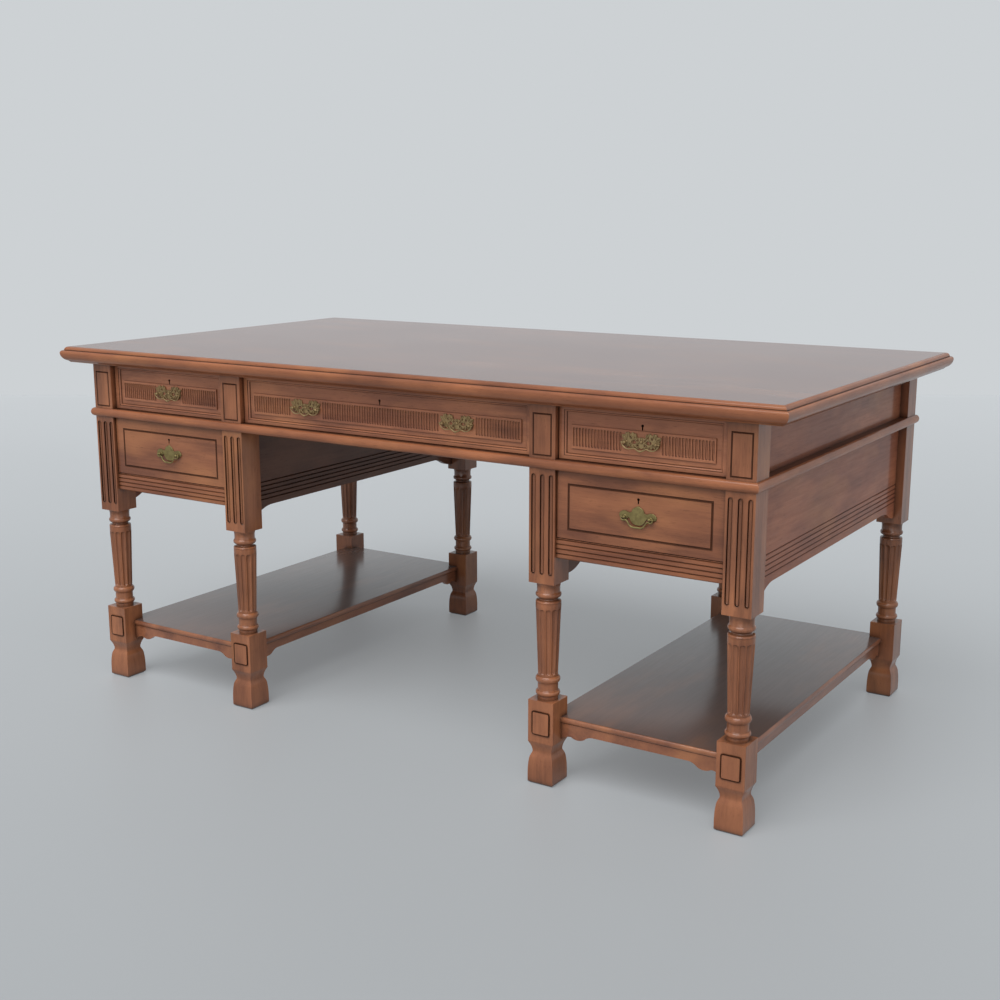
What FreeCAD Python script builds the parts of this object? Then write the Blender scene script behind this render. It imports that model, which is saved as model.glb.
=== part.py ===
# Two-pedestal writing desk in hardwood with five drawers and brass bail handles.
# Frame: X along the front, Y front to back (the front is at -Y), Z up, in millimetres.
# The origin lies on the floor under the middle of the desk.
import FreeCAD, Part
import math
import os

import Sketcher

OUTPUT_FOLDER = "parts"

# Driving dimensions in millimetres, with counts and shares named as such.
SIZES = {
    # Plan of the carcass
    "knee_width": 712.2,
    "drawer_bay": 333.8,
    "leg_width": 55.2,
    "frame_depth": 895.0,
    "top_end_overhang": 65.5,
    "top_front_overhang": 36.6,
    # Heights of the carcass
    "pedestal_height": 619.0,
    "lower_bay_height": 128.0,
    "waist_thickness": 19.0,
    "frieze_height": 102.0,
    "top_thickness": 35.0,
    # Edge moulding of the top: setbacks from the nose, heights above the underside
    "top_foot_setback": 16.0,
    "top_sweep_setback": 13.0,
    "top_sweep_height": 3.0,
    "top_sweep_bulge": 3.6,
    "top_nose_height": 21.0,
    "top_nose_bulge": 1.5,
    "top_bead_setback": 5.5,
    "top_bead_height": 27.0,
    "top_quirk_setback": 7.0,
    "top_quirk_height": 28.0,
    "top_ovolo_bulge": 1.7,
    "top_arris_setback": 14.0,
    # Waist moulding and dust board
    "waist_nose": 7.5,
    "dust_board_thickness": 10.0,
    # Panels, partitions and guides
    "panel_recess": 17.0,
    "panel_thickness": 12.0,
    "partition_thickness": 18.0,
    "guide_height": 12.0,
    # Incised rectangle on the frieze posts
    "post_line_margin": 7.1,
    "post_line_foot": 4.0,
    "post_line_head": 18.5,
    "line_width": 2.6,
    "line_depth": 2.0,
    # Bracket foot of a leg: half of its outline, in heights above the floor
    "foot_chamfer": 4.0,
    "foot_straight": 28.0,
    "shoulder_height": 51.0,
    "shoulder_inset": 2.1,
    "ankle_height": 63.0,
    "ankle_inset": 6.9,
    "hollow_height": 74.5,
    "hollow_inset": 5.0,
    "block_bottom": 85.0,
    "block_top": 169.4,
    # Incised rectangle on the lower block
    "incised_margin": 7.9,
    "incised_foot": 15.0,
    "incised_head": 21.4,
    # Turned column, from the lower block up
    "disc_radius": 20.0,
    "disc_height": 7.6,
    "cap_radius": 23.3,
    "cap_height": 10.0,
    "cove_height": 15.0,
    "ring_radius": 23.7,
    "ring_height": 14.0,
    "column_foot_radius": 19.3,
    "column_head_radius": 24.4,
    # Turned column, from the upper block down
    "upper_block_drop": 90.3,
    "flare_height": 7.7,
    "flare_radius": 26.6,
    "neck_radius": 22.4,
    "neck_height": 17.0,
    "head_ring_radius": 24.0,
    "head_ring_height": 5.0,
    "groove_radius": 18.3,
    "groove_height": 3.0,
    "collar_height": 12.0,
    # Facets and flutes of the column: one wide facet for each flute, with a narrow one between
    "flute_count": 12,
    "wide_facet_half_angle": 9.0,
    "flute_depth_share": 0.09,
    "flute_mouth_share": 0.145,
    "flute_stop": 3.5,
    # Stopped slots on the upper block
    "slot_pitch": 18.5,
    "slot_width": 7.4,
    "slot_depth": 3.0,
    "slot_foot": 18.2,
    "slot_head": 11.3,
    # Pedestal panels and their reeding
    "panel_drop": 55.5,
    "bracket_reach": 82.0,
    "bracket_drop": 21.5,
    "bracket_bulge": 2.7,
    "reed_count": 5,
    "reed_pitch": 9.7,
    "reed_width": 3.4,
    "reed_depth": 2.2,
    "reed_start": 15.2,
    # Reeded rail and floor under the lower drawer
    "rail_height": 38.5,
    "rail_thickness": 20.0,
    "rail_chamfer": 2.0,
    "rail_reed_count": 4,
    "rail_reed_pitch": 9.0,
    "rail_reed_start": 9.0,
    "floor_thickness": 12.0,
    # Shelf between the feet of a pedestal, with a lobed apron under each edge
    "shelf_height": 135.0,
    "shelf_thickness": 12.0,
    "shelf_nose": 5.0,
    "shelf_arris": 3.5,
    "apron_thickness": 8.0,
    "apron_setback": 3.5,
    "apron_drop": 17.5,
    "sweep_reach": 68.0,
    "step_reach": 52.0,
    "step_drop": 23.5,
    "lobe_start": 45.0,
    "lobe_end": 28.0,
    "lobe_drop": 28.8,
    "cusp_reach": 22.0,
    "cusp_drop": 25.0,
    "apron_foot_drop": 33.5,
    # Drawers
    "frieze_front_recess": 12.0,
    "lower_front_recess": 7.0,
    "front_thickness": 20.0,
    "front_gap": 1.0,
    "slide_gap": 0.3,
    "side_thickness": 12.0,
    "side_drop": 9.0,
    "frieze_box_depth": 600.0,
    "lower_box_depth": 560.0,
    "bottom_thickness": 6.0,
    "bottom_lift": 6.0,
    # Moulded frame and raised panel of a frieze drawer
    "frame_stile": 15.0,
    "frame_foot": 11.5,
    "frame_head": 13.0,
    "frame_step": 4.5,
    "frame_step_depth": 2.0,
    "field_depth": 5.0,
    "raised_margin": 9.5,
    "raised_foot": 9.0,
    "raised_height": 43.5,
    # Keyholes, from the head of the drawer front down
    "frieze_keyhole_drop": 27.0,
    "lower_keyhole_drop": 36.0,
    "keyhole_eye_half": 2.7,
    "keyhole_slot_width": 2.6,
    "keyhole_slot_drop": 8.0,
    # Incised rectangle on a lower drawer
    "lower_line_side": 22.0,
    "lower_line_head": 22.0,
    "lower_line_foot": 16.0,
    "lower_line_width": 3.0,
    "lower_line_depth": 2.5,
    # Handles: places on the drawer fronts
    "centre_handle_offset": 187.0,
    "frieze_handle_height": 43.0,
    "lower_handle_height": 57.5,
    # Handles: lugs and bails
    "lug_half": 3.6,
    "lug_length": 9.4,
    "bail_axis_offset": 6.0,
    "pin_radius": 1.4,
    "pin_gap": 0.1,
    "rod_half": 2.0,
    "bail_bend_share": 0.5,
    "bail_play": 0.5,
    # Frieze handle: a plate of two rosettes joined by scrolls
    "frieze_post_spacing": 61.0,
    "frieze_plate_thickness": 2.4,
    "frieze_bail_fall": 14.0,
    "frieze_bail_arm": 5.4,
    "frieze_crest_height": 9.0,
    "frieze_crest_width": 6.0,
    "frieze_shoulder_height": 12.0,
    "frieze_shoulder_width": 17.0,
    "frieze_lobe_height": 17.0,
    "frieze_lobe_width": 29.0,
    "frieze_tip_height": 1.0,
    "frieze_tip_width": 39.0,
    "frieze_under_height": -17.0,
    "frieze_under_width": 29.0,
    "frieze_dip_height": -7.0,
    "frieze_dip_width": 17.0,
    "frieze_keel_height": -10.0,
    # Lower handle: a bat-wing plate
    "lower_post_spacing": 50.0,
    "lower_plate_thickness": 1.6,
    "lower_bail_fall": 17.0,
    "lower_bail_arm": 5.0,
    "lower_crest_height": 20.5,
    "lower_crest_width": 5.5,
    "lower_shoulder_height": 12.5,
    "lower_shoulder_width": 12.0,
    "lower_lobe_height": 12.0,
    "lower_lobe_width": 27.0,
    "lower_tip_height": 1.0,
    "lower_tip_width": 37.0,
    "lower_under_height": -9.0,
    "lower_under_width": 28.0,
    "lower_dip_height": -11.0,
    "lower_dip_width": 11.0,
    "lower_keel_height": -16.0,
    # How far a cutting shape runs past what it cuts
    "overrun": 5.0,
}


class Measure:
    """A size with the sheet formula that gives it, so that sums of sizes stay bound to the sheet."""

    def __init__(self, value, formula):
        self.value = float(value)
        self.formula = formula

    @staticmethod
    def of(item):
        return item if isinstance(item, Measure) else Measure(item, f"{item}")

    def joined(self, sign, other, value):
        return Measure(value, f"({self.formula} {sign} {other.formula})")

    def __add__(self, other):
        other = Measure.of(other)
        return self.joined("+", other, self.value + other.value)

    def __sub__(self, other):
        other = Measure.of(other)
        return self.joined("-", other, self.value - other.value)

    def __mul__(self, other):
        other = Measure.of(other)
        return self.joined("*", other, self.value * other.value)

    def __rmul__(self, other):
        return Measure.of(other) * self

    def __truediv__(self, other):
        other = Measure.of(other)
        return self.joined("/", other, self.value / other.value)

    def __neg__(self):
        return Measure(-self.value, f"(-1 * {self.formula})")


ZERO = Measure(0, "0")
LEFT_TURN = 1
RIGHT_TURN = -1
FULL_TURN = 360


class Point:
    """A corner of an outline. With a turn and a bulge, the stretch that arrives at it is an arc."""

    def __init__(self, x, y, turn=0, bulge=None):
        self.x = x
        self.y = y
        self.turn = turn
        self.bulge = bulge

    def mirrored(self):
        return Point(-self.x, self.y, -self.turn, self.bulge)

    def arc_radius(self, start):
        """The radius of the arc from start, from how far it bulges."""
        across = self.x - start.x
        along = self.y - start.y
        return (across * across + along * along) / (8 * self.bulge) + self.bulge / 2


class Disc:
    """A full circle in a sketch."""

    def __init__(self, x, y, radius):
        self.x = x
        self.y = y
        self.radius = radius


def fill_sheet(doc):
    """Write every driving dimension to the sheet and return the measures by name."""
    sheet = doc.addObject("Spreadsheet::Sheet", "Sizes")
    measures = {}
    for row, (alias, value) in enumerate(SIZES.items(), start=1):
        sheet.set(f"A{row}", f"{value}")
        sheet.setAlias(f"A{row}", alias)
        measures[alias] = Measure(value, f"Sizes.{alias}")
    return measures


DOC = FreeCAD.newDocument("Desk")
M = fill_sheet(DOC)
DOC.recompute()
OVERRUN = M["overrun"]
NODES = []


def arc_edge(start, end):
    """The minor arc from start to end, drawn counterclockwise as the sketcher stores it."""
    a = FreeCAD.Vector(start.x.value, start.y.value, 0)
    b = FreeCAD.Vector(end.x.value, end.y.value, 0)
    chord = b - a
    radius = end.arc_radius(start).value
    height = math.sqrt(max(radius**2 - (chord.Length / 2) ** 2, 0))
    left = FreeCAD.Vector(-chord.y, chord.x, 0).normalize()
    centre = (a + b) / 2 + left * (height * end.turn)
    first, last = (a, b) if end.turn == LEFT_TURN else (b, a)
    angles = [math.atan2(p.y - centre.y, p.x - centre.x) for p in (first, last)]
    return Part.ArcOfCircle(Part.Circle(centre, FreeCAD.Vector(0, 0, 1), radius), *angles)


def pin(sketch, edge, end, point):
    """Hold one end of an edge, or the centre of a circle, at its bound coordinates."""
    for kind, axis, measure in (("DistanceX", -2, point.x), ("DistanceY", -1, point.y)):
        if measure.value == 0:
            sketch.addConstraint(Sketcher.Constraint("PointOnObject", edge, end, axis))
            continue
        number = sketch.addConstraint(Sketcher.Constraint(kind, -1, 1, edge, end, measure.value))
        sketch.setExpression(f"Constraints[{number}]", measure.formula)


def set_radius(sketch, edge, radius):
    number = sketch.addConstraint(Sketcher.Constraint("Radius", edge, radius.value))
    sketch.setExpression(f"Constraints[{number}]", radius.formula)


def draw_disc(sketch, disc):
    centre = FreeCAD.Vector(disc.x.value, disc.y.value, 0)
    circle = Part.Circle(centre, FreeCAD.Vector(0, 0, 1), disc.radius.value)
    edge = sketch.addGeometry(circle, False)
    pin(sketch, edge, 3, disc)
    set_radius(sketch, edge, disc.radius)


def draw_loop(sketch, points):
    """Draw one closed outline and bind each corner and each radius to the sheet."""
    count = len(points)
    edges = []
    for index in range(count):
        start, end = points[index - 1], points[index]
        if end.turn:
            shape = arc_edge(start, end)
        else:
            tail = FreeCAD.Vector(start.x.value, start.y.value, 0)
            shape = Part.LineSegment(tail, FreeCAD.Vector(end.x.value, end.y.value, 0))
        ends = (2, 1) if end.turn == RIGHT_TURN else (1, 2)
        edges.append((sketch.addGeometry(shape, False), *ends))
    for index in range(count):
        before, _, arriving = edges[index - 1]
        after, leaving, _ = edges[index]
        sketch.addConstraint(Sketcher.Constraint("Coincident", before, arriving, after, leaving))
    for index in range(count):
        edge, _, arriving = edges[index]
        pin(sketch, edge, arriving, points[index])
        if points[index].turn:
            set_radius(sketch, edge, points[index].arc_radius(points[index - 1]))


def rectangle(x0, x1, y0, y1):
    return [Point(x0, y0), Point(x1, y0), Point(x1, y1), Point(x0, y1)]


def inset(loop, margin):
    """A rectangle smaller by the same margin on every side."""
    low, high = loop[0], loop[2]
    return rectangle(low.x + margin, high.x - margin, low.y + margin, high.y - margin)


def mirrored(loop):
    return [point.mirrored() for point in loop]


class Piece:
    """One wooden or brass piece: a body that is written out under its label."""

    def __init__(self, label):
        self.body = DOC.addObject("PartDesign::Body", label)
        self.body.Label = label
        NODES.append(self.body)

    def twin(self, label):
        """A second piece of the same shape, to be placed on its own."""
        other = Piece(label)
        clone = other.body.newObject("PartDesign::FeatureBase", "Clone")
        clone.BaseFeature = self.body
        other.body.Tip = clone
        return other

    def origin(self, role):
        """Find a plane or an axis of the body's own origin."""
        return next(item for item in self.body.Origin.OriginFeatures if item.Role == role)

    def sketch(self, role, loops, offset=ZERO):
        sketch = self.body.newObject("Sketcher::SketchObject", "Sketch")
        sketch.AttachmentSupport = (self.origin(role), [""])
        sketch.MapMode = "FlatFace"
        sketch.setExpression("AttachmentOffset.Base.z", offset.formula)
        for loop in loops:
            if isinstance(loop, Disc):
                draw_disc(sketch, loop)
            else:
                draw_loop(sketch, loop)
        return sketch

    def extrude(self, kind, role, loops, length, offset, reverse, both_ways):
        feature = self.body.newObject(f"PartDesign::{kind}", kind)
        feature.Profile = self.sketch(role, loops, offset)
        feature.SideType = "Symmetric" if both_ways else "One side"
        feature.Reversed = reverse
        feature.setExpression("Length", length.formula)
        self.body.Tip = feature
        return feature

    def pad(self, role, loops, length, offset=ZERO, reverse=False, both_ways=False):
        return self.extrude("Pad", role, loops, length, offset, reverse, both_ways)

    def pocket(self, role, loops, length, offset=ZERO, reverse=False, both_ways=False):
        return self.extrude("Pocket", role, loops, length, offset, reverse, both_ways)

    def loft(self, kind, sections):
        """Run straight faces through sections drawn at several levels."""
        feature = self.body.newObject(f"PartDesign::{kind}", kind)
        feature.Profile = sections[0]
        feature.Sections = sections[1:]
        feature.Ruled = True
        self.body.Tip = feature
        return feature

    def repeat(self, feature, axis, pitch, count):
        """Repeat a cut along an axis of its sketch at an even pitch."""
        pattern = self.body.newObject("PartDesign::LinearPattern", "Pattern")
        pattern.Originals = [feature]
        pattern.Direction = (feature.Profile[0], [axis])
        pattern.setExpression("Length", (pitch * (count - 1)).formula)
        pattern.setExpression("Occurrences", count.formula)
        self.body.Tip = pattern

    def place(self, x=ZERO, y=ZERO, z=ZERO, turn=0):
        """Set the piece at a place in the desk, turned about the vertical by whole quarters."""
        upright = FreeCAD.Vector(0, 0, 1)
        self.body.Placement = FreeCAD.Placement(FreeCAD.Vector(), FreeCAD.Rotation(upright, turn))
        for axis, measure in (("x", x), ("y", y), ("z", z)):
            self.body.setExpression(f"Placement.Base.{axis}", measure.formula)


def plain_box(name, x0, x1, y0, y1, z0, z1):
    """A rectangular piece of board between the given faces."""
    box = DOC.addObject("Part::Box", name)
    box.Label = name
    box.setExpression("Length", (x1 - x0).formula)
    box.setExpression("Width", (y1 - y0).formula)
    box.setExpression("Height", (z1 - z0).formula)
    for axis, measure in (("x", x0), ("y", y0), ("z", z0)):
        box.setExpression(f"Placement.Base.{axis}", measure.formula)
    return box


def board(name, x0, x1, y0, y1, z0, z1):
    NODES.append(plain_box(name, x0, x1, y0, y1, z0, z1))


# Places that several pieces share, worked out from the driving dimensions.
BAY_INNER = M["knee_width"] / 2 + M["leg_width"]
BAY_OUTER = BAY_INNER + M["drawer_bay"]
BAY_CENTRE = (BAY_INNER + BAY_OUTER) / 2
LEG_HALF = M["leg_width"] / 2
INNER_LEG_X = BAY_INNER - LEG_HALF
OUTER_LEG_X = BAY_OUTER + LEG_HALF
CARCASS_X = BAY_OUTER + M["leg_width"]
CARCASS_Y = M["frame_depth"] / 2
LEG_Y = CARCASS_Y - LEG_HALF
BEHIND_LEG = CARCASS_Y - M["leg_width"]
PANEL_IN = CARCASS_X - M["panel_recess"] - M["panel_thickness"]
BACK_OUT = CARCASS_Y - M["panel_recess"]
BACK_IN = BACK_OUT - M["panel_thickness"]
PEDESTAL_TOP = M["pedestal_height"]
BAY_FOOT = PEDESTAL_TOP - M["lower_bay_height"]
RAIL_FOOT = BAY_FOOT - M["rail_height"]
PANEL_FOOT = BAY_FOOT - M["panel_drop"]
UPPER_BLOCK_FOOT = BAY_FOOT - M["upper_block_drop"]
FRIEZE_FOOT = PEDESTAL_TOP + M["waist_thickness"]
FRIEZE_HEAD = FRIEZE_FOOT + M["frieze_height"]
DUST_FOOT = FRIEZE_FOOT - M["dust_board_thickness"]
SIDES = {"left": -1, "right": 1}


def moulded_slab(label, half_x, half_y, edge, thickness):
    """A slab with its edge moulding run along the ends and then along the front and back.

    Each corner of the edge is a point whose x is its setback from the outermost line.
    """
    piece = Piece(label)
    right = [Point(half_x - p.x, p.y, p.turn, p.bulge) for p in edge]
    left = []
    turn, bulge = 0, None
    for point in reversed(right):
        left.append(Point(-point.x, point.y, turn, bulge))
        turn, bulge = point.turn, point.bulge
    piece.pad("XZ_Plane", [right + left], 2 * half_y, both_ways=True)
    waste = [Point(half_y - edge[0].x, -OVERRUN)]
    waste += [Point(half_y - p.x, p.y, p.turn, p.bulge) for p in edge]
    waste.append(Point(half_y - edge[-1].x, thickness + OVERRUN))
    waste.append(Point(half_y + OVERRUN, thickness + OVERRUN))
    waste.append(Point(half_y + OVERRUN, -OVERRUN))
    across = 2 * (half_x + OVERRUN)
    piece.pocket("YZ_Plane", [waste, mirrored(waste)], across, both_ways=True)
    return piece


def top_board():
    """The writing surface, with a thumb moulding, a quirk and an ovolo on every edge."""
    edge = [
        Point(M["top_foot_setback"], ZERO),
        Point(M["top_sweep_setback"], M["top_sweep_height"]),
        Point(ZERO, M["top_nose_height"], LEFT_TURN, M["top_sweep_bulge"]),
        Point(M["top_bead_setback"], M["top_bead_height"], LEFT_TURN, M["top_nose_bulge"]),
        Point(M["top_quirk_setback"], M["top_bead_height"]),
        Point(M["top_quirk_setback"], M["top_quirk_height"]),
        Point(M["top_arris_setback"], M["top_thickness"], LEFT_TURN, M["top_ovolo_bulge"]),
    ]
    half_x = CARCASS_X + M["top_end_overhang"]
    half_y = CARCASS_Y + M["top_front_overhang"]
    slab = moulded_slab("top_board", half_x, half_y, edge, M["top_thickness"])
    slab.place(z=FRIEZE_HEAD)


def waist_rail(label, half_length, x=ZERO, y=ZERO, turn=0):
    """One mitred member of the waist moulding, with its rounded nose outward."""
    piece = Piece(label)
    nose = M["waist_nose"]
    width = M["leg_width"] + nose
    section = [
        Point(nose, ZERO, LEFT_TURN, nose),
        Point(width, ZERO),
        Point(width, M["waist_thickness"]),
        Point(nose, M["waist_thickness"]),
    ]
    piece.pad("YZ_Plane", [section], 2 * half_length, both_ways=True)
    mitre = [
        Point(half_length + OVERRUN, -OVERRUN),
        Point(half_length + OVERRUN, width + OVERRUN),
        Point(half_length - width - OVERRUN, width + OVERRUN),
    ]
    depth = 2 * (M["waist_thickness"] + OVERRUN)
    piece.pocket("XY_Plane", [mitre, mirrored(mitre)], depth, both_ways=True)
    piece.place(x, y, PEDESTAL_TOP, turn)


def waist():
    """The waist moulding all round the carcass and the dust board inside it."""
    end = CARCASS_X + M["waist_nose"]
    face = CARCASS_Y + M["waist_nose"]
    waist_rail("waist_rail_front", end, y=-face)
    waist_rail("waist_rail_back", end, y=face, turn=180)
    waist_rail("waist_rail_left", face, x=-end, turn=-90)
    waist_rail("waist_rail_right", face, x=end, turn=90)
    board("dust_board", -BAY_OUTER, BAY_OUTER, -BEHIND_LEG, BEHIND_LEG, DUST_FOOT, FRIEZE_FOOT)


def front_post(label, x):
    """A post between two frieze drawers, with an incised rectangle on its face."""
    piece = Piece(label)
    square = rectangle(-LEG_HALF, LEG_HALF, -LEG_HALF, LEG_HALF)
    piece.pad("XY_Plane", [square], M["frieze_height"])
    reach = LEG_HALF - M["post_line_margin"]
    head = M["frieze_height"] - M["post_line_head"]
    outer = rectangle(-reach, reach, M["post_line_foot"], head)
    piece.pocket("XZ_Plane", [outer, inset(outer, M["line_width"])], M["line_depth"], LEG_HALF)
    piece.place(x, -LEG_Y, FRIEZE_FOOT)


def partition(label, x):
    """The wall between two frieze drawers, with a guide for the drawers along each side."""
    piece = Piece(label)
    half = M["partition_thickness"] / 2
    section = [
        Point(-LEG_HALF, ZERO),
        Point(LEG_HALF, ZERO),
        Point(LEG_HALF, M["guide_height"]),
        Point(half, M["guide_height"]),
        Point(half, M["frieze_height"]),
        Point(-half, M["frieze_height"]),
        Point(-half, M["guide_height"]),
        Point(-LEG_HALF, M["guide_height"]),
    ]
    piece.pad("XZ_Plane", [section], BEHIND_LEG + BACK_IN, reverse=True)
    piece.place(x, -BEHIND_LEG, FRIEZE_FOOT)


def frieze_panel(label, side):
    """The end of the frieze, set back from the posts, with a drawer guide along its foot."""
    piece = Piece(label)
    depth = PANEL_IN - BAY_OUTER
    face = depth + M["panel_thickness"]
    section = [
        Point(ZERO, ZERO),
        Point(face, ZERO),
        Point(face, M["frieze_height"]),
        Point(depth, M["frieze_height"]),
        Point(depth, M["guide_height"]),
        Point(ZERO, M["guide_height"]),
    ]
    loop = section if side > 0 else mirrored(section)
    piece.pad("XZ_Plane", [loop], 2 * BEHIND_LEG, both_ways=True)
    piece.place(side * BAY_OUTER, z=FRIEZE_FOOT)


def frieze():
    """The drawer case under the top: posts, ends, back and partitions."""
    for name, side in SIDES.items():
        front_post(f"frieze_post_{name}_outer", side * OUTER_LEG_X)
        front_post(f"frieze_post_{name}_inner", side * INNER_LEG_X)
        edges = sorted((side * BAY_OUTER, side * CARCASS_X), key=lambda place: place.value)
        board(f"frieze_post_{name}_back", *edges, BEHIND_LEG, CARCASS_Y, FRIEZE_FOOT, FRIEZE_HEAD)
        frieze_panel(f"frieze_end_{name}", side)
        partition(f"frieze_partition_{name}", side * INNER_LEG_X)
    board("frieze_back", -BAY_OUTER, BAY_OUTER, BACK_IN, BACK_OUT, FRIEZE_FOOT, FRIEZE_HEAD)


def cut_foot(piece):
    """Saw the outline of the foot out of the lower block from two sides."""
    half = LEG_HALF
    over = OVERRUN
    chamfer = M["foot_chamfer"]
    shoulder = half - M["shoulder_inset"]
    ankle = half - M["ankle_inset"]
    floor_waste = [
        Point(half - chamfer - over, -over),
        Point(half + over, -over),
        Point(half + over, chamfer + over),
    ]
    ankle_waste = [
        Point(half + over, M["foot_straight"]),
        Point(half, M["foot_straight"]),
        Point(shoulder, M["shoulder_height"]),
        Point(ankle, M["ankle_height"]),
        Point(half - M["hollow_inset"], M["hollow_height"]),
        Point(half, M["block_bottom"]),
        Point(half + over, M["block_bottom"]),
    ]
    loops = [floor_waste, mirrored(floor_waste), ankle_waste, mirrored(ankle_waste)]
    across = 2 * (half + over)
    piece.pocket("XZ_Plane", loops, across, both_ways=True)
    piece.pocket("YZ_Plane", loops, across, both_ways=True)


def column_ring(piece, radius, level):
    """A round section of the column at a level, with two corners beside each flute."""
    count = int(M["flute_count"].value)
    facet = M["wide_facet_half_angle"]
    corners = []
    for index in range(count):
        for side in (-1, 1):
            angle = FULL_TURN * Measure.of(index) / M["flute_count"] + side * facet
            turn = math.radians(angle.value)
            x = radius * Measure(math.cos(turn), f"cos({angle.formula})")
            y = radius * Measure(math.sin(turn), f"sin({angle.formula})")
            corners.append(Point(x, y))
    return piece.sketch("XY_Plane", [corners], level)


def form_column(piece):
    """Form the rings, the taper and the necking between the two square blocks."""
    start = M["block_top"]
    disc = start + M["disc_height"]
    cap = disc + M["cap_height"]
    cove = cap + M["cove_height"]
    taper_foot = cove + M["ring_height"]
    end = UPPER_BLOCK_FOOT
    flare = end - M["flare_height"]
    ring = flare - M["neck_height"]
    groove_head = ring - M["head_ring_height"]
    groove = groove_head - M["groove_height"]
    collar = groove - M["groove_height"]
    taper_head = collar - M["collar_height"]
    rings = [
        (M["disc_radius"], start),
        (M["disc_radius"], disc),
        (M["cap_radius"], (disc + cap) / 2),
        (M["disc_radius"], cap),
        (M["disc_radius"], cove),
        (M["ring_radius"], (cove + taper_foot) / 2),
        (M["column_foot_radius"], taper_foot),
        (M["column_head_radius"], taper_head),
        (M["column_head_radius"], collar),
        (M["groove_radius"], groove),
        (M["head_ring_radius"], groove_head),
        (M["neck_radius"], ring),
        (M["neck_radius"], flare),
        (M["flare_radius"], end),
    ]
    piece.loft("AdditiveLoft", [column_ring(piece, *ring) for ring in rings])
    return taper_foot, taper_head


def flute_section(piece, radius, level):
    """One end of a flute, as large as the column is there, drawn across it at a level."""
    depth = radius * M["flute_depth_share"]
    mouth = radius * M["flute_mouth_share"]
    section = [
        Point(radius - depth, ZERO),
        Point(radius + depth, -2 * mouth),
        Point(radius + depth, 2 * mouth),
    ]
    return piece.sketch("XY_Plane", [section], level)


def cut_flutes(piece, taper_foot, taper_head):
    """Cut the column's tapered flutes, stopped short of both ends of the taper."""
    stop = M["flute_stop"]
    foot_radius = M["column_foot_radius"]
    head_radius = M["column_head_radius"]
    slope = (head_radius - foot_radius) / (taper_head - taper_foot)
    foot = flute_section(piece, foot_radius + slope * stop, taper_foot + stop)
    head = flute_section(piece, head_radius - slope * stop, taper_head - stop)
    flute = piece.loft("SubtractiveLoft", [foot, head])
    pattern = piece.body.newObject("PartDesign::PolarPattern", "Flutes")
    pattern.Originals = [flute]
    pattern.Axis = (piece.origin("Z_Axis"), [""])
    pattern.Angle = FULL_TURN
    pattern.setExpression("Occurrences", M["flute_count"].formula)
    piece.body.Tip = pattern


def carve_front(piece):
    """Cut the incised rectangle below and the three stopped slots above on the front face."""
    reach = LEG_HALF - M["incised_margin"]
    foot = M["block_bottom"] + M["incised_foot"]
    head = M["block_top"] - M["incised_head"]
    line = M["line_width"]
    outer = rectangle(-reach, reach, foot, head)
    piece.pocket("XZ_Plane", [outer, inset(outer, line)], M["line_depth"], LEG_HALF)
    half = M["slot_width"] / 2
    low = UPPER_BLOCK_FOOT + M["slot_foot"]
    high = PEDESTAL_TOP - M["slot_head"]
    slots = []
    for middle in (-M["slot_pitch"], ZERO, M["slot_pitch"]):
        slots.append(
            [
                Point(middle - half, low + half),
                Point(middle - half / 2, low),
                Point(middle + half / 2, low),
                Point(middle + half, low + half),
                Point(middle + half, high - half),
                Point(middle + half / 2, high),
                Point(middle - half / 2, high),
                Point(middle - half, high - half),
            ]
        )
    piece.pocket("XZ_Plane", slots, M["slot_depth"], LEG_HALF)


def leg(label, carved):
    """A leg from floor to waist: sawn foot, fluted column, square upper block."""
    piece = Piece(label)
    square = rectangle(-LEG_HALF, LEG_HALF, -LEG_HALF, LEG_HALF)
    piece.pad("XY_Plane", [square], M["block_top"])
    cut_foot(piece)
    taper_foot, taper_head = form_column(piece)
    cut_flutes(piece, taper_foot, taper_head)
    upper = PEDESTAL_TOP - UPPER_BLOCK_FOOT
    piece.pad("XY_Plane", [square], upper, UPPER_BLOCK_FOOT)
    if carved:
        carve_front(piece)
    return piece


def legs():
    """The eight legs: four with a carved front face, and four plain ones behind them."""
    places = []
    for name, side in SIDES.items():
        places.append((f"leg_{name}_inner", side * INNER_LEG_X))
        places.append((f"leg_{name}_outer", side * OUTER_LEG_X))
    for end, y, carved in (("front", -LEG_Y, True), ("back", LEG_Y, False)):
        first = None
        for name, x in places:
            label = f"{name}_{end}"
            piece = first.twin(label) if first else leg(label, carved)
            first = first or piece
            piece.place(x, y)


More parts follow.
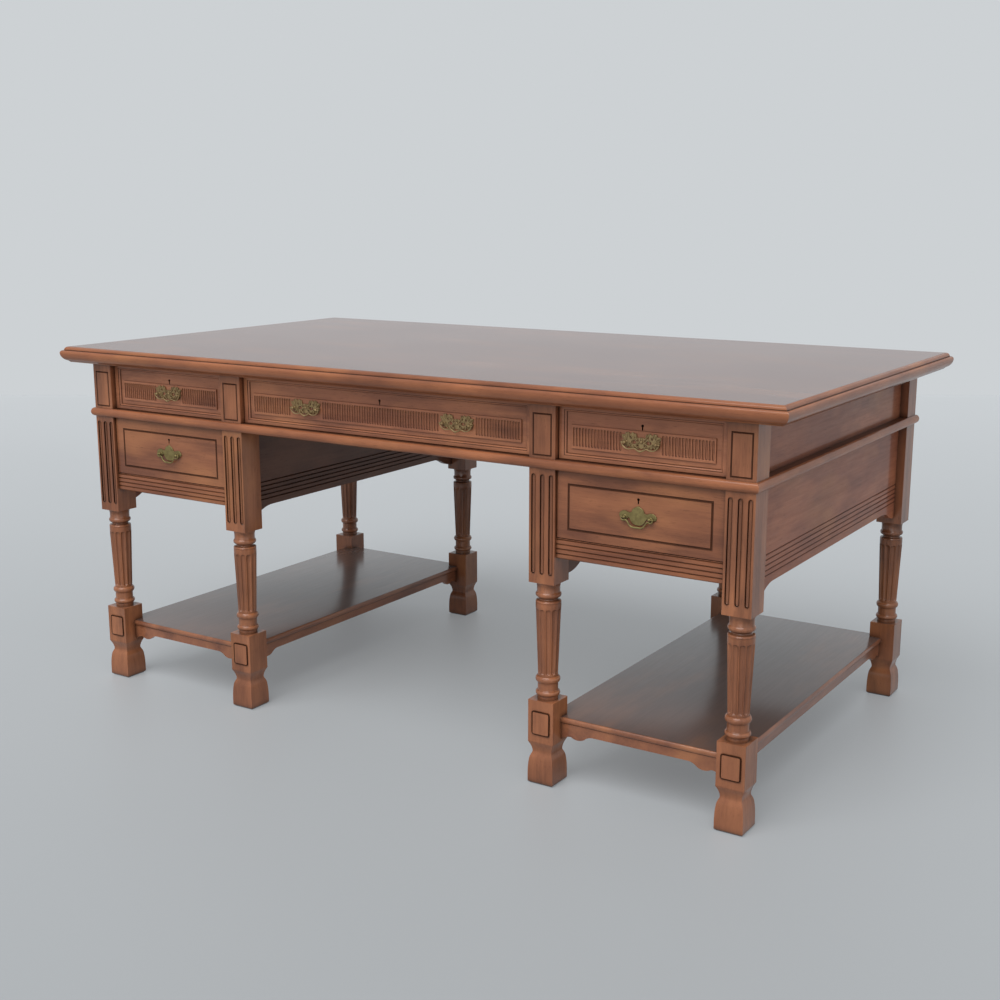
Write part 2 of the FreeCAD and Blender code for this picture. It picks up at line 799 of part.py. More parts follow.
def reeded_panel(label, half_width, head, x, y=ZERO, turn=0, bracketed=True):
    """An upright panel with five grooves along its outer face and a bracket at each leg."""
    piece = Piece(label)
    foot = PANEL_FOOT
    reach = M["bracket_reach"]
    drop = M["bracket_drop"]
    bulge = M["bracket_bulge"]
    if bracketed:
        outline = [
            Point(half_width - reach, foot),
            Point(half_width - reach / 2, foot - drop / 2, RIGHT_TURN, bulge),
            Point(half_width, foot - drop, LEFT_TURN, bulge),
            Point(half_width, head),
            Point(-half_width, head),
            Point(-half_width, foot - drop),
            Point(reach / 2 - half_width, foot - drop / 2, LEFT_TURN, bulge),
            Point(reach - half_width, foot, RIGHT_TURN, bulge),
        ]
    else:
        outline = rectangle(-half_width, half_width, foot, head)
    piece.pad("YZ_Plane", [outline], M["panel_thickness"])
    face = M["panel_thickness"]
    reed_half = M["reed_width"] / 2
    level = foot + M["reed_start"]
    groove = [
        Point(face, level - reed_half),
        Point(face, level + reed_half),
        Point(face - M["reed_depth"], level),
    ]
    cut = piece.pocket("XZ_Plane", [groove], 2 * (half_width + OVERRUN), both_ways=True)
    piece.repeat(cut, "V_Axis", M["reed_pitch"], M["reed_count"])
    piece.place(x, y, turn=turn)


def drawer_rail(label, x):
    """The reeded rail across the front, below a lower drawer."""
    piece = Piece(label)
    height = M["rail_height"]
    chamfer = M["rail_chamfer"]
    section = [
        Point(chamfer, ZERO),
        Point(M["rail_thickness"], ZERO),
        Point(M["rail_thickness"], height),
        Point(ZERO, height),
        Point(ZERO, chamfer),
    ]
    piece.pad("YZ_Plane", [section], M["drawer_bay"], both_ways=True)
    reed_half = M["reed_width"] / 2
    level = M["rail_reed_start"]
    groove = [
        Point(ZERO, level - reed_half),
        Point(M["reed_depth"], level),
        Point(ZERO, level + reed_half),
    ]
    cut = piece.pocket("YZ_Plane", [groove], M["drawer_bay"] + OVERRUN, both_ways=True)
    piece.repeat(cut, "V_Axis", M["rail_reed_pitch"], M["rail_reed_count"])
    piece.place(x, M["lower_front_recess"] - CARCASS_Y, RAIL_FOOT)


def pedestal_floor(label, side):
    """The board that carries the lower drawer, notched for the outer legs, with a guide."""
    piece = Piece(label)
    front = M["lower_front_recess"] + M["rail_thickness"] - CARCASS_Y
    outline = [
        Point(BAY_INNER, front),
        Point(BAY_OUTER, front),
        Point(BAY_OUTER, -BEHIND_LEG),
        Point(PANEL_IN, -BEHIND_LEG),
        Point(PANEL_IN, BEHIND_LEG),
        Point(BAY_OUTER, BEHIND_LEG),
        Point(BAY_OUTER, BACK_IN),
        Point(BAY_INNER, BACK_IN),
    ]
    guide = rectangle(BAY_OUTER, PANEL_IN, -BEHIND_LEG, BEHIND_LEG)
    if side < 0:
        outline, guide = mirrored(outline), mirrored(guide)
    piece.pad("XY_Plane", [outline], M["floor_thickness"])
    piece.pad("XY_Plane", [guide], M["guide_height"], M["floor_thickness"])
    piece.place(z=BAY_FOOT - M["floor_thickness"])


def apron_outline(half_length):
    """The lobed outline of an apron that hangs below the shelf between two legs."""
    right = [
        Point(half_length - M["sweep_reach"], -M["apron_drop"]),
        Point(half_length - M["step_reach"], -M["step_drop"]),
        Point(half_length - M["lobe_start"], -M["lobe_drop"]),
        Point(half_length - M["lobe_end"], -M["lobe_drop"]),
        Point(half_length - M["cusp_reach"], -M["cusp_drop"]),
        Point(half_length, -M["apron_foot_drop"]),
        Point(half_length, ZERO),
    ]
    return right + [Point(-point.x, point.y) for point in reversed(right)]


def shelf(label, x):
    """A shelf notched round the four legs of a pedestal, with an apron under each edge."""
    nose = M["shelf_nose"]
    thickness = M["shelf_thickness"]
    arris = M["shelf_arris"]
    edge = [
        Point(nose, ZERO),
        Point(ZERO, arris),
        Point(ZERO, thickness - arris),
        Point(nose, thickness),
    ]
    half_x = OUTER_LEG_X - BAY_CENTRE
    piece = moulded_slab(label, half_x, LEG_Y, edge, thickness)
    notch = rectangle(half_x - LEG_HALF, half_x + OVERRUN, LEG_Y - LEG_HALF, LEG_Y + OVERRUN)
    low_notch = [Point(point.x, -point.y) for point in notch]
    notches = [notch, mirrored(notch), low_notch, mirrored(low_notch)]
    piece.pocket("XY_Plane", notches, 2 * (thickness + OVERRUN), both_ways=True)
    apron = M["apron_thickness"]
    across = half_x - LEG_HALF
    along = LEG_Y - LEG_HALF
    front_face = LEG_Y - M["apron_setback"]
    end_face = half_x - M["apron_setback"]
    piece.pad("XZ_Plane", [apron_outline(across)], apron, front_face, reverse=True)
    piece.pad("XZ_Plane", [apron_outline(across)], apron, -front_face)
    piece.pad("YZ_Plane", [apron_outline(along)], apron, end_face, reverse=True)
    piece.pad("YZ_Plane", [apron_outline(along)], apron, -end_face)
    piece.place(x, z=M["shelf_height"] - thickness)


def pedestals():
    """What the legs of each pedestal carry: panels, rail, floor and shelf."""
    half_bay = M["drawer_bay"] / 2
    for name, side in SIDES.items():
        outer_turn, inner_turn = (0, 180) if side > 0 else (180, 0)
        panel = f"side_panel_{name}"
        reeded_panel(panel, BEHIND_LEG, PEDESTAL_TOP, side * PANEL_IN, turn=outer_turn)
        panel = f"knee_panel_{name}"
        reeded_panel(panel, BEHIND_LEG, DUST_FOOT, side * BAY_INNER, turn=inner_turn)
        panel = f"back_panel_{name}"
        middle = side * BAY_CENTRE
        reeded_panel(panel, half_bay, PEDESTAL_TOP, middle, BACK_IN, turn=90, bracketed=False)
        drawer_rail(f"drawer_rail_{name}", middle)
        pedestal_floor(f"pedestal_floor_{name}", side)
        shelf(f"shelf_{name}", middle)


class Drawer:
    """Where a drawer sits and how its front is sized."""

    def __init__(self, name, x, half_bay, foot, height, recess, box_depth):
        gap = M["front_gap"]
        self.name = name
        self.x = x
        self.half = half_bay - gap
        self.foot = foot + gap
        self.height = height - 2 * gap
        self.rest = foot + M["slide_gap"]
        self.face_y = recess - CARCASS_Y
        self.box_depth = box_depth


def drawer_blank(drawer):
    """The plain board of a drawer front, its face at local y zero."""
    piece = Piece(f"{drawer.name}_front")
    outline = rectangle(-drawer.half, drawer.half, ZERO, drawer.height)
    piece.pad("XZ_Plane", [outline], M["front_thickness"], reverse=True)
    piece.place(drawer.x, drawer.face_y, drawer.foot)
    return piece


def cut_keyhole(piece, level):
    """Cut a keyhole right through a drawer front, its eye drawn with six sides."""
    half = M["keyhole_slot_width"] / 2
    eye = M["keyhole_eye_half"]
    outline = [
        Point(-half, level - M["keyhole_slot_drop"]),
        Point(half, level - M["keyhole_slot_drop"]),
        Point(half, level - eye),
        Point(eye, level),
        Point(half, level + eye),
        Point(-half, level + eye),
        Point(-eye, level),
        Point(-half, level - eye),
    ]
    piece.pocket("XZ_Plane", [outline], M["front_thickness"] + OVERRUN)


def frieze_front(drawer):
    """A frieze drawer front: a moulded frame round a sunk field with a raised panel in it."""
    piece = drawer_blank(drawer)
    step = M["frame_step"]
    reach = drawer.half - M["frame_stile"]
    foot = M["frame_foot"]
    head = drawer.height - M["frame_head"]
    stepped = rectangle(-reach - step, reach + step, foot - step, head + step)
    piece.pocket("XZ_Plane", [stepped], M["frame_step_depth"])
    field = rectangle(-reach, reach, foot, head)
    panel_reach = reach - M["raised_margin"]
    panel_foot = foot + M["raised_foot"]
    panel = rectangle(-panel_reach, panel_reach, panel_foot, panel_foot + M["raised_height"])
    piece.pocket("XZ_Plane", [field, panel], M["field_depth"])
    cut_keyhole(piece, drawer.height - M["frieze_keyhole_drop"])


def lower_front(drawer):
    """A lower drawer front with an incised rectangle."""
    piece = drawer_blank(drawer)
    reach = drawer.half - M["lower_line_side"]
    head = drawer.height - M["lower_line_head"]
    outer = rectangle(-reach, reach, M["lower_line_foot"], head)
    inner = inset(outer, M["lower_line_width"])
    piece.pocket("XZ_Plane", [outer, inner], M["lower_line_depth"])
    cut_keyhole(piece, drawer.height - M["lower_keyhole_drop"])


def drawer_box(drawer):
    """The four boards behind a drawer front, the bottom let into grooves in the sides."""
    name = f"{drawer.name}_box"
    wall = M["side_thickness"]
    left = drawer.x - drawer.half
    right = drawer.x + drawer.half
    front = drawer.face_y + M["front_thickness"]
    back = front + drawer.box_depth
    head = drawer.foot + drawer.height - M["side_drop"]
    low = drawer.rest + M["bottom_lift"]
    high = low + M["bottom_thickness"]
    bottom = plain_box(f"{name}_bottom", left + wall / 2, right - wall / 2, front, back, low, high)
    rear = plain_box(f"{name}_back", left + wall, right - wall, back - wall, back, high, head)
    boards = [bottom, rear]
    for side, edge in (("left", left), ("right", right - wall)):
        blank = plain_box(f"{name}_{side}_blank", edge, edge + wall, front, back, drawer.rest, head)
        grooved = DOC.addObject("Part::Cut", f"{name}_{side}")
        grooved.Base = blank
        grooved.Tool = bottom
        boards.append(grooved)
    box = DOC.addObject("Part::Compound", name)
    box.Label = name
    box.Links = boards
    NODES.append(box)


def plate_outline(kind):
    """The scalloped outline of a handle plate, symmetrical about its upright centre line."""
    right = []
    for name in ("crest", "shoulder", "lobe", "tip", "under", "dip"):
        right.append(Point(M[f"{kind}_{name}_width"], M[f"{kind}_{name}_height"]))
    keel = Point(ZERO, M[f"{kind}_keel_height"])
    return right + [keel] + [Point(-point.x, point.y) for point in reversed(right)]


def handle_plate(label, kind, x, y, z):
    """A cast plate with its two lugs, bored for the bail."""
    piece = Piece(label)
    half = M[f"{kind}_post_spacing"] / 2
    lug = M["lug_half"]
    lugs = []
    for middle in (-half, half):
        lugs.append(rectangle(middle - lug, middle + lug, -lug, lug))
    piece.pad("XZ_Plane", [plate_outline(kind)], M[f"{kind}_plate_thickness"])
    piece.pad("XZ_Plane", lugs, M["lug_length"])
    bore = Disc(-M["bail_axis_offset"], ZERO, M["pin_radius"] + M["pin_gap"])
    piece.pocket("YZ_Plane", [bore], 2 * (half + lug + OVERRUN), both_ways=True)
    piece.place(x, y, z)


def bail(label, kind, x, y, z):
    """A drop bail whose pins turn in the bores of the two lugs."""
    piece = Piece(label)
    rod = M["rod_half"]
    inner = M[f"{kind}_post_spacing"] / 2 + M["lug_half"] + M["bail_play"]
    outer = inner + 2 * rod
    arm = M[f"{kind}_bail_arm"]
    fall = M[f"{kind}_bail_fall"]
    bend = inner * M["bail_bend_share"]
    outline = [
        Point(-outer, rod),
        Point(-outer, -arm),
        Point(-bend, -fall - rod),
        Point(bend, -fall - rod),
        Point(outer, -arm),
        Point(outer, rod),
        Point(inner, rod),
        Point(inner, -arm),
        Point(bend, rod - fall),
        Point(-bend, rod - fall),
        Point(-inner, -arm),
        Point(-inner, rod),
    ]
    piece.pad("XZ_Plane", [outline], 2 * rod, both_ways=True)
    pin_length = 2 * M["lug_half"] + M["bail_play"]
    pin_end = Disc(ZERO, ZERO, M["pin_radius"])
    piece.pad("YZ_Plane", [pin_end], pin_length, inner, reverse=True)
    piece.pad("YZ_Plane", [pin_end], pin_length, -inner)
    piece.place(x, y - M["bail_axis_offset"], z)


def handle(drawer, suffix, kind, offset):
    """Plate and bail of one handle, at an offset from the middle of its drawer."""
    face = drawer.face_y
    if kind == "frieze":
        face = face + M["frame_step_depth"]
    place = (drawer.x + offset, face, drawer.foot + M[f"{kind}_handle_height"])
    handle_plate(f"{drawer.name}{suffix}_handle_plate", kind, *place)
    bail(f"{drawer.name}{suffix}_bail", kind, *place)


def drawers():
    """Three drawers in the frieze and one in each pedestal, with their handles."""
    half_bay = M["drawer_bay"] / 2
    frieze_place = (FRIEZE_FOOT, M["frieze_height"], M["frieze_front_recess"])
    lower_place = (BAY_FOOT, M["lower_bay_height"], M["lower_front_recess"])
    for name, side in SIDES.items():
        middle = side * BAY_CENTRE
        depth = M["frieze_box_depth"]
        drawer = Drawer(f"frieze_drawer_{name}", middle, half_bay, *frieze_place, depth)
        frieze_front(drawer)
        drawer_box(drawer)
        handle(drawer, "", "frieze", ZERO)
        depth = M["lower_box_depth"]
        drawer = Drawer(f"lower_drawer_{name}", middle, half_bay, *lower_place, depth)
        lower_front(drawer)
        drawer_box(drawer)
        handle(drawer, "", "lower", ZERO)
    half_knee = M["knee_width"] / 2
    depth = M["frieze_box_depth"]
    drawer = Drawer("frieze_drawer_centre", ZERO, half_knee, *frieze_place, depth)
    offset = M["centre_handle_offset"]
    frieze_front(drawer)
    drawer_box(drawer)
    for suffix, offset in (("_left", -offset), ("_right", offset)):
        handle(drawer, suffix, "frieze", offset)


def check_document():
    """Stop at the first object that is invalid or has no shape."""
    for item in DOC.Objects:
        if "Invalid" in item.State or "Error" in item.State:
            raise RuntimeError(f"{item.Label}: {item.State}")
    for node in NODES:
        if node.Shape.isNull() or not node.Shape.isValid():
            raise RuntimeError(f"{node.Label} has no valid shape")


def with_true_planes(shape):
    """Give the flat faces that a loft stores as splines true planes between the same corners."""
    faces = []
    changed = False
    for face in shape.Faces:
        if isinstance(face.Surface, Part.BSplineSurface):
            outlines = []
            for wire in face.Wires:
                corners = [vertex.Point for vertex in wire.OrderedVertexes]
                outlines.append(Part.makePolygon(corners + corners[:1]))
            face = Part.Face(outlines)
            changed = True
        faces.append(face)
    if not changed:
        return shape
    shell = Part.makeShell(faces)
    shell.sewShape()
    return Part.makeSolid(shell)


def export_nodes():
    os.makedirs(OUTPUT_FOLDER, exist_ok=True)
    for node in NODES:
        shape = with_true_planes(node.Shape)
        shape.exportStep(os.path.join(OUTPUT_FOLDER, f"{node.Label}.step"))


top_board()
waist()
frieze()
legs()
pedestals()
drawers()
DOC.recompute()
check_document()
export_nodes()
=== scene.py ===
"""A two-pedestal writing desk in polished hardwood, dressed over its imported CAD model.

Sizes are in millimetres inside the classes and become metres when a piece is finished.
X runs along the front, Y from front to back with the front at -Y, and Z up.
"""

from __future__ import annotations

import logging
import math
from collections.abc import Callable, Sequence
from dataclasses import dataclass, replace
from enum import Enum

import bmesh
import bpy
from mathutils import Matrix, Vector

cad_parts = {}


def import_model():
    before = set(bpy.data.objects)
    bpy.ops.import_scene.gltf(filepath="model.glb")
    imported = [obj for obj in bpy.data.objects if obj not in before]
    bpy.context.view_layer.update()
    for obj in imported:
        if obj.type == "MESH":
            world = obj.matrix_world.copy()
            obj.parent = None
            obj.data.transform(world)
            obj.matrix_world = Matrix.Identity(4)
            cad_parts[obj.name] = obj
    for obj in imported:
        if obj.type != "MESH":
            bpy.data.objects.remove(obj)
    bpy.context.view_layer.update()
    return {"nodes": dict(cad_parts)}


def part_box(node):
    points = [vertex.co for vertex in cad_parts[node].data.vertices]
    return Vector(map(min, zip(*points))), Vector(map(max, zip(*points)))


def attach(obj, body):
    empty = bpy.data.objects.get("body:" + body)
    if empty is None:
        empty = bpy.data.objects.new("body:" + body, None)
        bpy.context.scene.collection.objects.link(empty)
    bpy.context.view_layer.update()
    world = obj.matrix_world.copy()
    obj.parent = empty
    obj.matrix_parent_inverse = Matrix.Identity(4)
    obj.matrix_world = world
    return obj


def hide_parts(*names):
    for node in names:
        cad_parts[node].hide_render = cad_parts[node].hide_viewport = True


LOG = logging.getLogger("writing_desk")
METRES = 0.001

# Distances in millimetres below which corners merge, heights are level and arcs are straight
MERGED = 0.002
LEVEL = 0.01
STRAIGHT = 1e-6

# Width of a board's eased corners, depth of a keyhole and least angle of an edge that gets a bevel
EASE = 0.7
BORE = 14.0
BEVEL_FROM = 40.0

Pair = tuple[float, float]
Triple = tuple[float, float, float]
Row = tuple[float, ...]
Edges = list[bmesh.types.BMEdge]
Material = bpy.types.Material
Socket = bpy.types.NodeSocket


class Grain(Enum):
    """The axis that a board's grain runs along, with the turn that brings it to X."""

    ACROSS = (0.0, 0.0, 0.0)
    DEEP = (0.0, 0.0, -math.pi / 2)
    UPRIGHT = (0.0, math.pi / 2, 0.0)


class Side(Enum):
    """The two pedestals, with their sign along X."""

    LEFT = -1
    RIGHT = 1

    @property
    def word(self) -> str:
        """The side's name as the CAD nodes spell it."""
        return self.name.lower()


class Slot(Enum):
    """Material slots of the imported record."""

    HARDWOOD = "polished_hardwood"
    PLAIN_WOOD = "plain_secondary_wood"
    BRASS = "aged_brass"


# Geometry helpers


def arc_points(start: Pair, end: Pair, bulge: float, count: int) -> list[Pair]:
    """Points along an arc, without its start.

    Args:
        start: Where the arc begins.
        end: Where it ends.
        bulge: Its rise to the left of the chord, negative for the right.
        count: How many points to give, the end among them.

    Returns:
        The points in order.
    """
    dx, dy = end[0] - start[0], end[1] - start[1]
    chord = math.hypot(dx, dy)
    if abs(bulge) < STRAIGHT:
        return [(start[0] + dx * i / count, start[1] + dy * i / count) for i in range(1, count + 1)]
    radius = (chord * chord / 4 + bulge * bulge) / (2 * bulge)
    middle = ((start[0] + end[0]) / 2, (start[1] + end[1]) / 2)
    normal = (-dy / chord, dx / chord)
    offset = bulge - radius
    centre = (middle[0] + normal[0] * offset, middle[1] + normal[1] * offset)
    first = math.atan2(start[1] - centre[1], start[0] - centre[0])
    last = math.atan2(end[1] - centre[1], end[0] - centre[0])
    sweep = (last - first + math.pi) % (2 * math.pi) - math.pi
    size = abs(radius)
    points = []
    for i in range(1, count + 1):
        angle = first + sweep * i / count
        points.append((centre[0] + size * math.cos(angle), centre[1] + size * math.sin(angle)))
    return points


def drawn(points: Sequence[Row]) -> list[Pair]:
    """Draws a line through points, some of them reached by an arc.

    Args:
        points: Place of each point, followed by the bulge and the facets of an arc that ends there.

    Returns:
        The line's points.
    """
    line: list[Pair] = [(points[0][0], points[0][1])]
    for along, up, *arc in points[1:]:
        bulge, count = arc or (0.0, 1)
        line += arc_points(line[-1], (along, up), bulge, int(count))
    return line


def stadium(x: float, low: float, high: float, half: float, steps: int = 6) -> list[Pair]:
    """The outline of an upright slot with round ends, counterclockwise.

    Args:
        x: Middle of the slot.
        low: Its foot.
        high: Its head.
        half: Half of its width.
        steps: Edges in each round end.

    Returns:
        The outline's points.
    """
    points = []
    for i in range(steps + 1):
        angle = math.pi + math.pi * i / steps
        points.append((x + half * math.cos(angle), low + half + half * math.sin(angle)))
    for i in range(steps + 1):
        angle = math.pi * i / steps
        points.append((x + half * math.cos(angle), high - half + half * math.sin(angle)))
    return points


def rounded(x0: float, x1: float, z0: float, z1: float, radius: float, steps: int = 5) -> list[Pair]:
    """The outline of a rectangle with rounded corners, counterclockwise.

    Args:
        x0: Left side.
        x1: Right side.
        z0: Foot.
        z1: Head.
        radius: Corner radius.
        steps: Edges in each corner.

    Returns:
        The outline's points.
    """
    corners = ((x1 - radius, z0 + radius), (x1 - radius, z1 - radius))
    corners += ((x0 + radius, z1 - radius), (x0 + radius, z0 + radius))
    points = []
    for index, (x, z) in enumerate(corners):
        for i in range(steps + 1):
            angle = (index - 1 + i / steps) * math.pi / 2
            points.append((x + radius * math.cos(angle), z + radius * math.sin(angle)))
    return points


def keyhole(x: float, z: float) -> list[Pair]:
    """The outline of a keyhole round the middle of its eye, counterclockwise.

    Args:
        x: Middle of the eye.
        z: Height of the eye.

    Returns:
        The outline's points.
    """
    eye, half, drop, steps = 2.7, 1.3, 8.0, 12
    gap = math.asin(half / eye)
    points = [(x - half, z - drop), (x + half, z - drop)]
    for i in range(steps + 1):
        angle = gap - math.pi / 2 + 2 * (math.pi - gap) * i / steps
        points.append((x + eye * math.cos(angle), z + eye * math.sin(angle)))
    return points


def smooth_line(points: Sequence[Pair], steps: int) -> list[Pair]:
    """Draws a smooth line through a few points.

    Args:
        points: The points to pass through.
        steps: New points in each span.

    Returns:
        The line's points.
    """
    ends = [points[0], *points, points[-1]]
    line = [points[0]]
    for span in zip(ends, ends[1:], ends[2:], ends[3:]):
        for i in range(1, steps + 1):
            t = i / steps
            place = []
            for a, b, c, d in zip(*span):
                bend = (2 * a - 5 * b + 4 * c - d) * t * t + (3 * b - a - 3 * c + d) * t**3
                place.append(0.5 * (2 * b + (c - a) * t + bend))
            line.append((place[0], place[1]))
    return line


def mirrored(right: Sequence[Pair]) -> list[Pair]:
    """The outline whose right half runs from a point on its middle line to another there."""
    return [*right, *((-along, up) for along, up in reversed(right[1:-1]))]


def node_box(node: str) -> tuple[Vector, Vector]:
    """The lowest and highest corners of a CAD node at rest, in millimetres."""
    low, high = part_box(node)
    return low / METRES, high / METRES


class Form:
    """A shape in the making: a bmesh in millimetres and the few operations that a part needs.

    Attributes:
        bm: The mesh.
        paint: Material number that new faces get, 0 for the board and 1 for its second finish.
    """

    def __init__(self) -> None:
        """Starts empty."""
        self.bm = bmesh.new()
        self.paint = 0

    def loop(self, points: Sequence[Triple]) -> Edges:
        """Draws a closed loop of edges through a few points."""
        verts = [self.bm.verts.new(point) for point in points]
        return [self.bm.edges.new((verts[i - 1], verts[i])) for i in range(len(verts))]

    def step(self, edges: Edges, place: Callable[[Vector], Vector]) -> Edges:
        """Extrudes a loop of edges.

        Args:
            edges: The loop to extrude.
            place: Gives the new place of a corner from its old one.

        Returns:
            The new loop.
        """
        made = bmesh.ops.extrude_edge_only(self.bm, edges=edges)["geom"]
        new = {item for item in made if isinstance(item, bmesh.types.BMVert)}
        for vert in new:
            vert.co = place(vert.co)
        for item in made:
            if isinstance(item, bmesh.types.BMFace):
                item.material_index = self.paint
        found = [item for item in made if isinstance(item, bmesh.types.BMEdge)]
        return [edge for edge in found if edge.verts[0] in new and edge.verts[1] in new]

    def cap(self, edges: Edges, outward: Triple) -> bmesh.types.BMFace:
        """Closes a loop with one face that looks outward."""
        face = bmesh.ops.contextual_create(self.bm, geom=edges)["faces"][0]
        face.material_index = self.paint
        face.normal_update()
        if face.normal.dot(Vector(outward)) < 0:
            face.normal_flip()
        return face

    def fill(self, edges: Edges, outward: Triple) -> None:
        """Fills the area between an outer loop and the loops inside it."""
        made = bmesh.ops.triangle_fill(self.bm, edges=edges, use_beauty=True, use_dissolve=True)
        for item in made["geom"]:
            if isinstance(item, bmesh.types.BMFace):
                item.normal_update()
                if item.normal.dot(Vector(outward)) < 0:
                    item.normal_flip()

    def rings_up(self, rings: Sequence[tuple[float, float, float]], x: float, y: float) -> None:
        """Stacks rectangles round a vertical axis into a closed solid.

        Args:
            rings: Half width, half depth and height of each rectangle, from the foot up.
            x: The axis along X.
            y: The axis along Y.
        """
        half_x, half_y, z = rings[0]
        corners = ((-1, -1), (1, -1), (1, 1), (-1, 1))
        edges = self.loop([(x + half_x * a, y + half_y * b, z) for a, b in corners])
        self.cap(edges, (0, 0, -1))
        for half_x, half_y, z in rings[1:]:

            def place(co: Vector, hx: float = half_x, hy: float = half_y, z: float = z) -> Vector:
                """Moves a corner out to the next rectangle."""
                return Vector((x + math.copysign(hx, co.x - x), y + math.copysign(hy, co.y - y), z))

            edges = self.step(edges, place)
        self.cap(edges, (0, 0, 1))

    def onto(self, edges: Edges, ring: Row) -> Edges:
        """Extrudes the edges of an upright rectangle to another one.

        Args:
            edges: The open edges of the first.
            ring: Left, right, foot, head and Y of the second.

        Returns:
            The edges of the second.
        """
        corners = [vert.co for edge in edges for vert in edge.verts]
        centre = sum(corners, Vector()) / len(corners)
        x0, x1, z0, z1, y = ring

        def place(co: Vector) -> Vector:
            """Moves a corner to the same corner of the second."""
            return Vector((x1 if co.x > centre.x else x0, y, z1 if co.z > centre.z else z0))

        return self.step(edges, place)

    def rings_in(self, rings: Sequence[Row], dark: Sequence[int] = ()) -> Edges:
        """Draws rectangles one after another from the back of a board to its face.

        Args:
            rings: Left, right, foot, head and Y of each rectangle.
            dark: Numbers of the rectangles that a dark groove leads up to.

        Returns:
            The edges of the last rectangle, left open.
        """
        x0, x1, z0, z1, y = rings[0]
        edges = self.loop([(x0, y, z0), (x1, y, z0), (x1, y, z1), (x0, y, z1)])
        self.cap(edges, (0, 1, 0))
        for number, ring in enumerate(rings[1:], start=1):
            self.paint = int(number in dark)
            edges = self.onto(edges, ring)
        self.paint = 0
        return edges

    def spin(self, profile: Sequence[Pair], x: float, y: float, steps: int = 48) -> None:
        """Turns a profile round a vertical axis.

        Args:
            profile: Radius and height of each point, starting and ending on the axis.
            x: The axis along X.
            y: The axis along Y.
            steps: Facets round the axis.
        """
        verts = [self.bm.verts.new((x + radius, y, z)) for radius, z in profile]
        edges = [self.bm.edges.new(pair) for pair in zip(verts, verts[1:])]
        bmesh.ops.spin(
            self.bm,
            geom=verts + edges,
            cent=(x, y, 0),
            axis=(0, 0, 1),
            angle=2 * math.pi,
            steps=steps,
            use_merge=True,
        )

    def recess(self, outline: Sequence[Pair], y: float, cuts: Sequence[Pair], paint: int = 0) -> Edges:
        """Sinks an outline drawn on a front face.

        Args:
            outline: Its points in X and Z.
            y: Where the front face lies.
            cuts: Inset and depth of each step of the cut.
            paint: Material number of the cut's walls.

        Returns:
            The edges of the mouth.
        """
        edges = self.loop([(x, y, z) for x, z in outline])
        face = self.cap(edges, (0, -1, 0))
        for inset, depth in cuts:
            made = bmesh.ops.inset_region(
                self.bm,
                faces=[face],
                thickness=inset,
                depth=-depth,
                use_boundary=True,
                use_even_offset=True,
            )
            for wall in made["faces"]:
                wall.material_index = paint
        return edges

    def bore(self, outline: Sequence[Pair], y: float, depth: float) -> Edges:
        """Sinks an outline straight into a front face and gives the edges of its mouth."""
        edges = self.loop([(x, y, z) for x, z in outline])
        # The walls and the floor get material 1, the dark finish: painted shade inside the hole.
        self.paint = 1
        floor = self.step(edges, lambda co: co + Vector((0, depth, 0)))
        self.cap(floor, (0, -1, 0))
        self.paint = 0
        return edges

    def prism(self, points: Sequence[Triple], run: Triple) -> None:
        """Extrudes a flat outline along a run into a closed solid."""
        edges = self.loop(points)
        self.cap(edges, (-run[0], -run[1], -run[2]))
        far = self.step(edges, lambda co: co + Vector(run))
        self.cap(far, run)

    def dome(self, centre: Triple, radii: Triple, turn: float = 0.0, segments: int = 16) -> None:
        """Adds an ellipsoid, its middle at a place and turned about Y.

        Args:
            centre: Its middle.
            radii: Its radii along X, Y and Z before the turn.
            turn: The turn about Y, in radians.
            segments: Facets round it.
        """
        matrix = (
            Matrix.Translation(Vector(centre))
            @ Matrix.Rotation(turn, 4, "Y")
            @ Matrix.Diagonal(Vector((*radii, 1.0)))
        )
        bmesh.ops.create_uvsphere(
            self.bm, u_segments=segments, v_segments=segments // 2, radius=1.0, matrix=matrix
        )

    def rod(self, path: Sequence[Triple], radii: Sequence[float], sides: int = 12) -> None:
        """Sweeps a round bar along a path of points.

        Args:
            path: Points of the bar's middle line.
            radii: Its radius at each point.
            sides: Facets round it.
        """
        points = [Vector(point) for point in path]
        circle = bmesh.ops.create_circle(self.bm, segments=sides, radius=1.0)["verts"]
        spots = {vert: vert.co.copy() for vert in circle}
        edges = list(dict.fromkeys(edge for vert in circle for edge in vert.link_edges))
        for index, (point, radius) in enumerate(zip(points, radii)):
            ahead = points[min(index + 1, len(points) - 1)] - points[max(index - 1, 0)]
            turn = ahead.to_track_quat("Z", "Y").to_matrix().to_4x4()
            matrix = Matrix.Translation(point) @ turn
            if index:
                edges = self.step(edges, lambda co: co)
                spots = self.followed(edges, spots)
            for vert, spot in spots.items():
                vert.co = matrix @ (spot * radius)
            if index == 0:
                self.cap(edges, tuple(-ahead))
        self.cap(edges, tuple(points[-1] - points[-2]))

    @staticmethod
    def followed(edges: Edges, spots: dict[bmesh.types.BMVert, Vector]) -> dict:
        """Hands each corner of an extruded loop the spot of the corner that it came from.

        Args:
            edges: The new loop.
            spots: The spot of each corner of the old one.

        Returns:
            The spot of each corner of the new loop.
        """
        found = {}
        for vert in dict.fromkeys(vert for edge in edges for vert in edge.verts):
            for edge in vert.link_edges:
                if edge.other_vert(vert) in spots:
                    found[vert] = spots[edge.other_vert(vert)]
        return found

    def turn(self, angle: float, about: Triple = (0, 0, 0), axis: str = "Z") -> None:
        """Turns the whole shape about an axis through a place."""
        matrix = Matrix.Rotation(angle, 3, axis)
        bmesh.ops.rotate(self.bm, verts=self.bm.verts, cent=about, matrix=matrix)

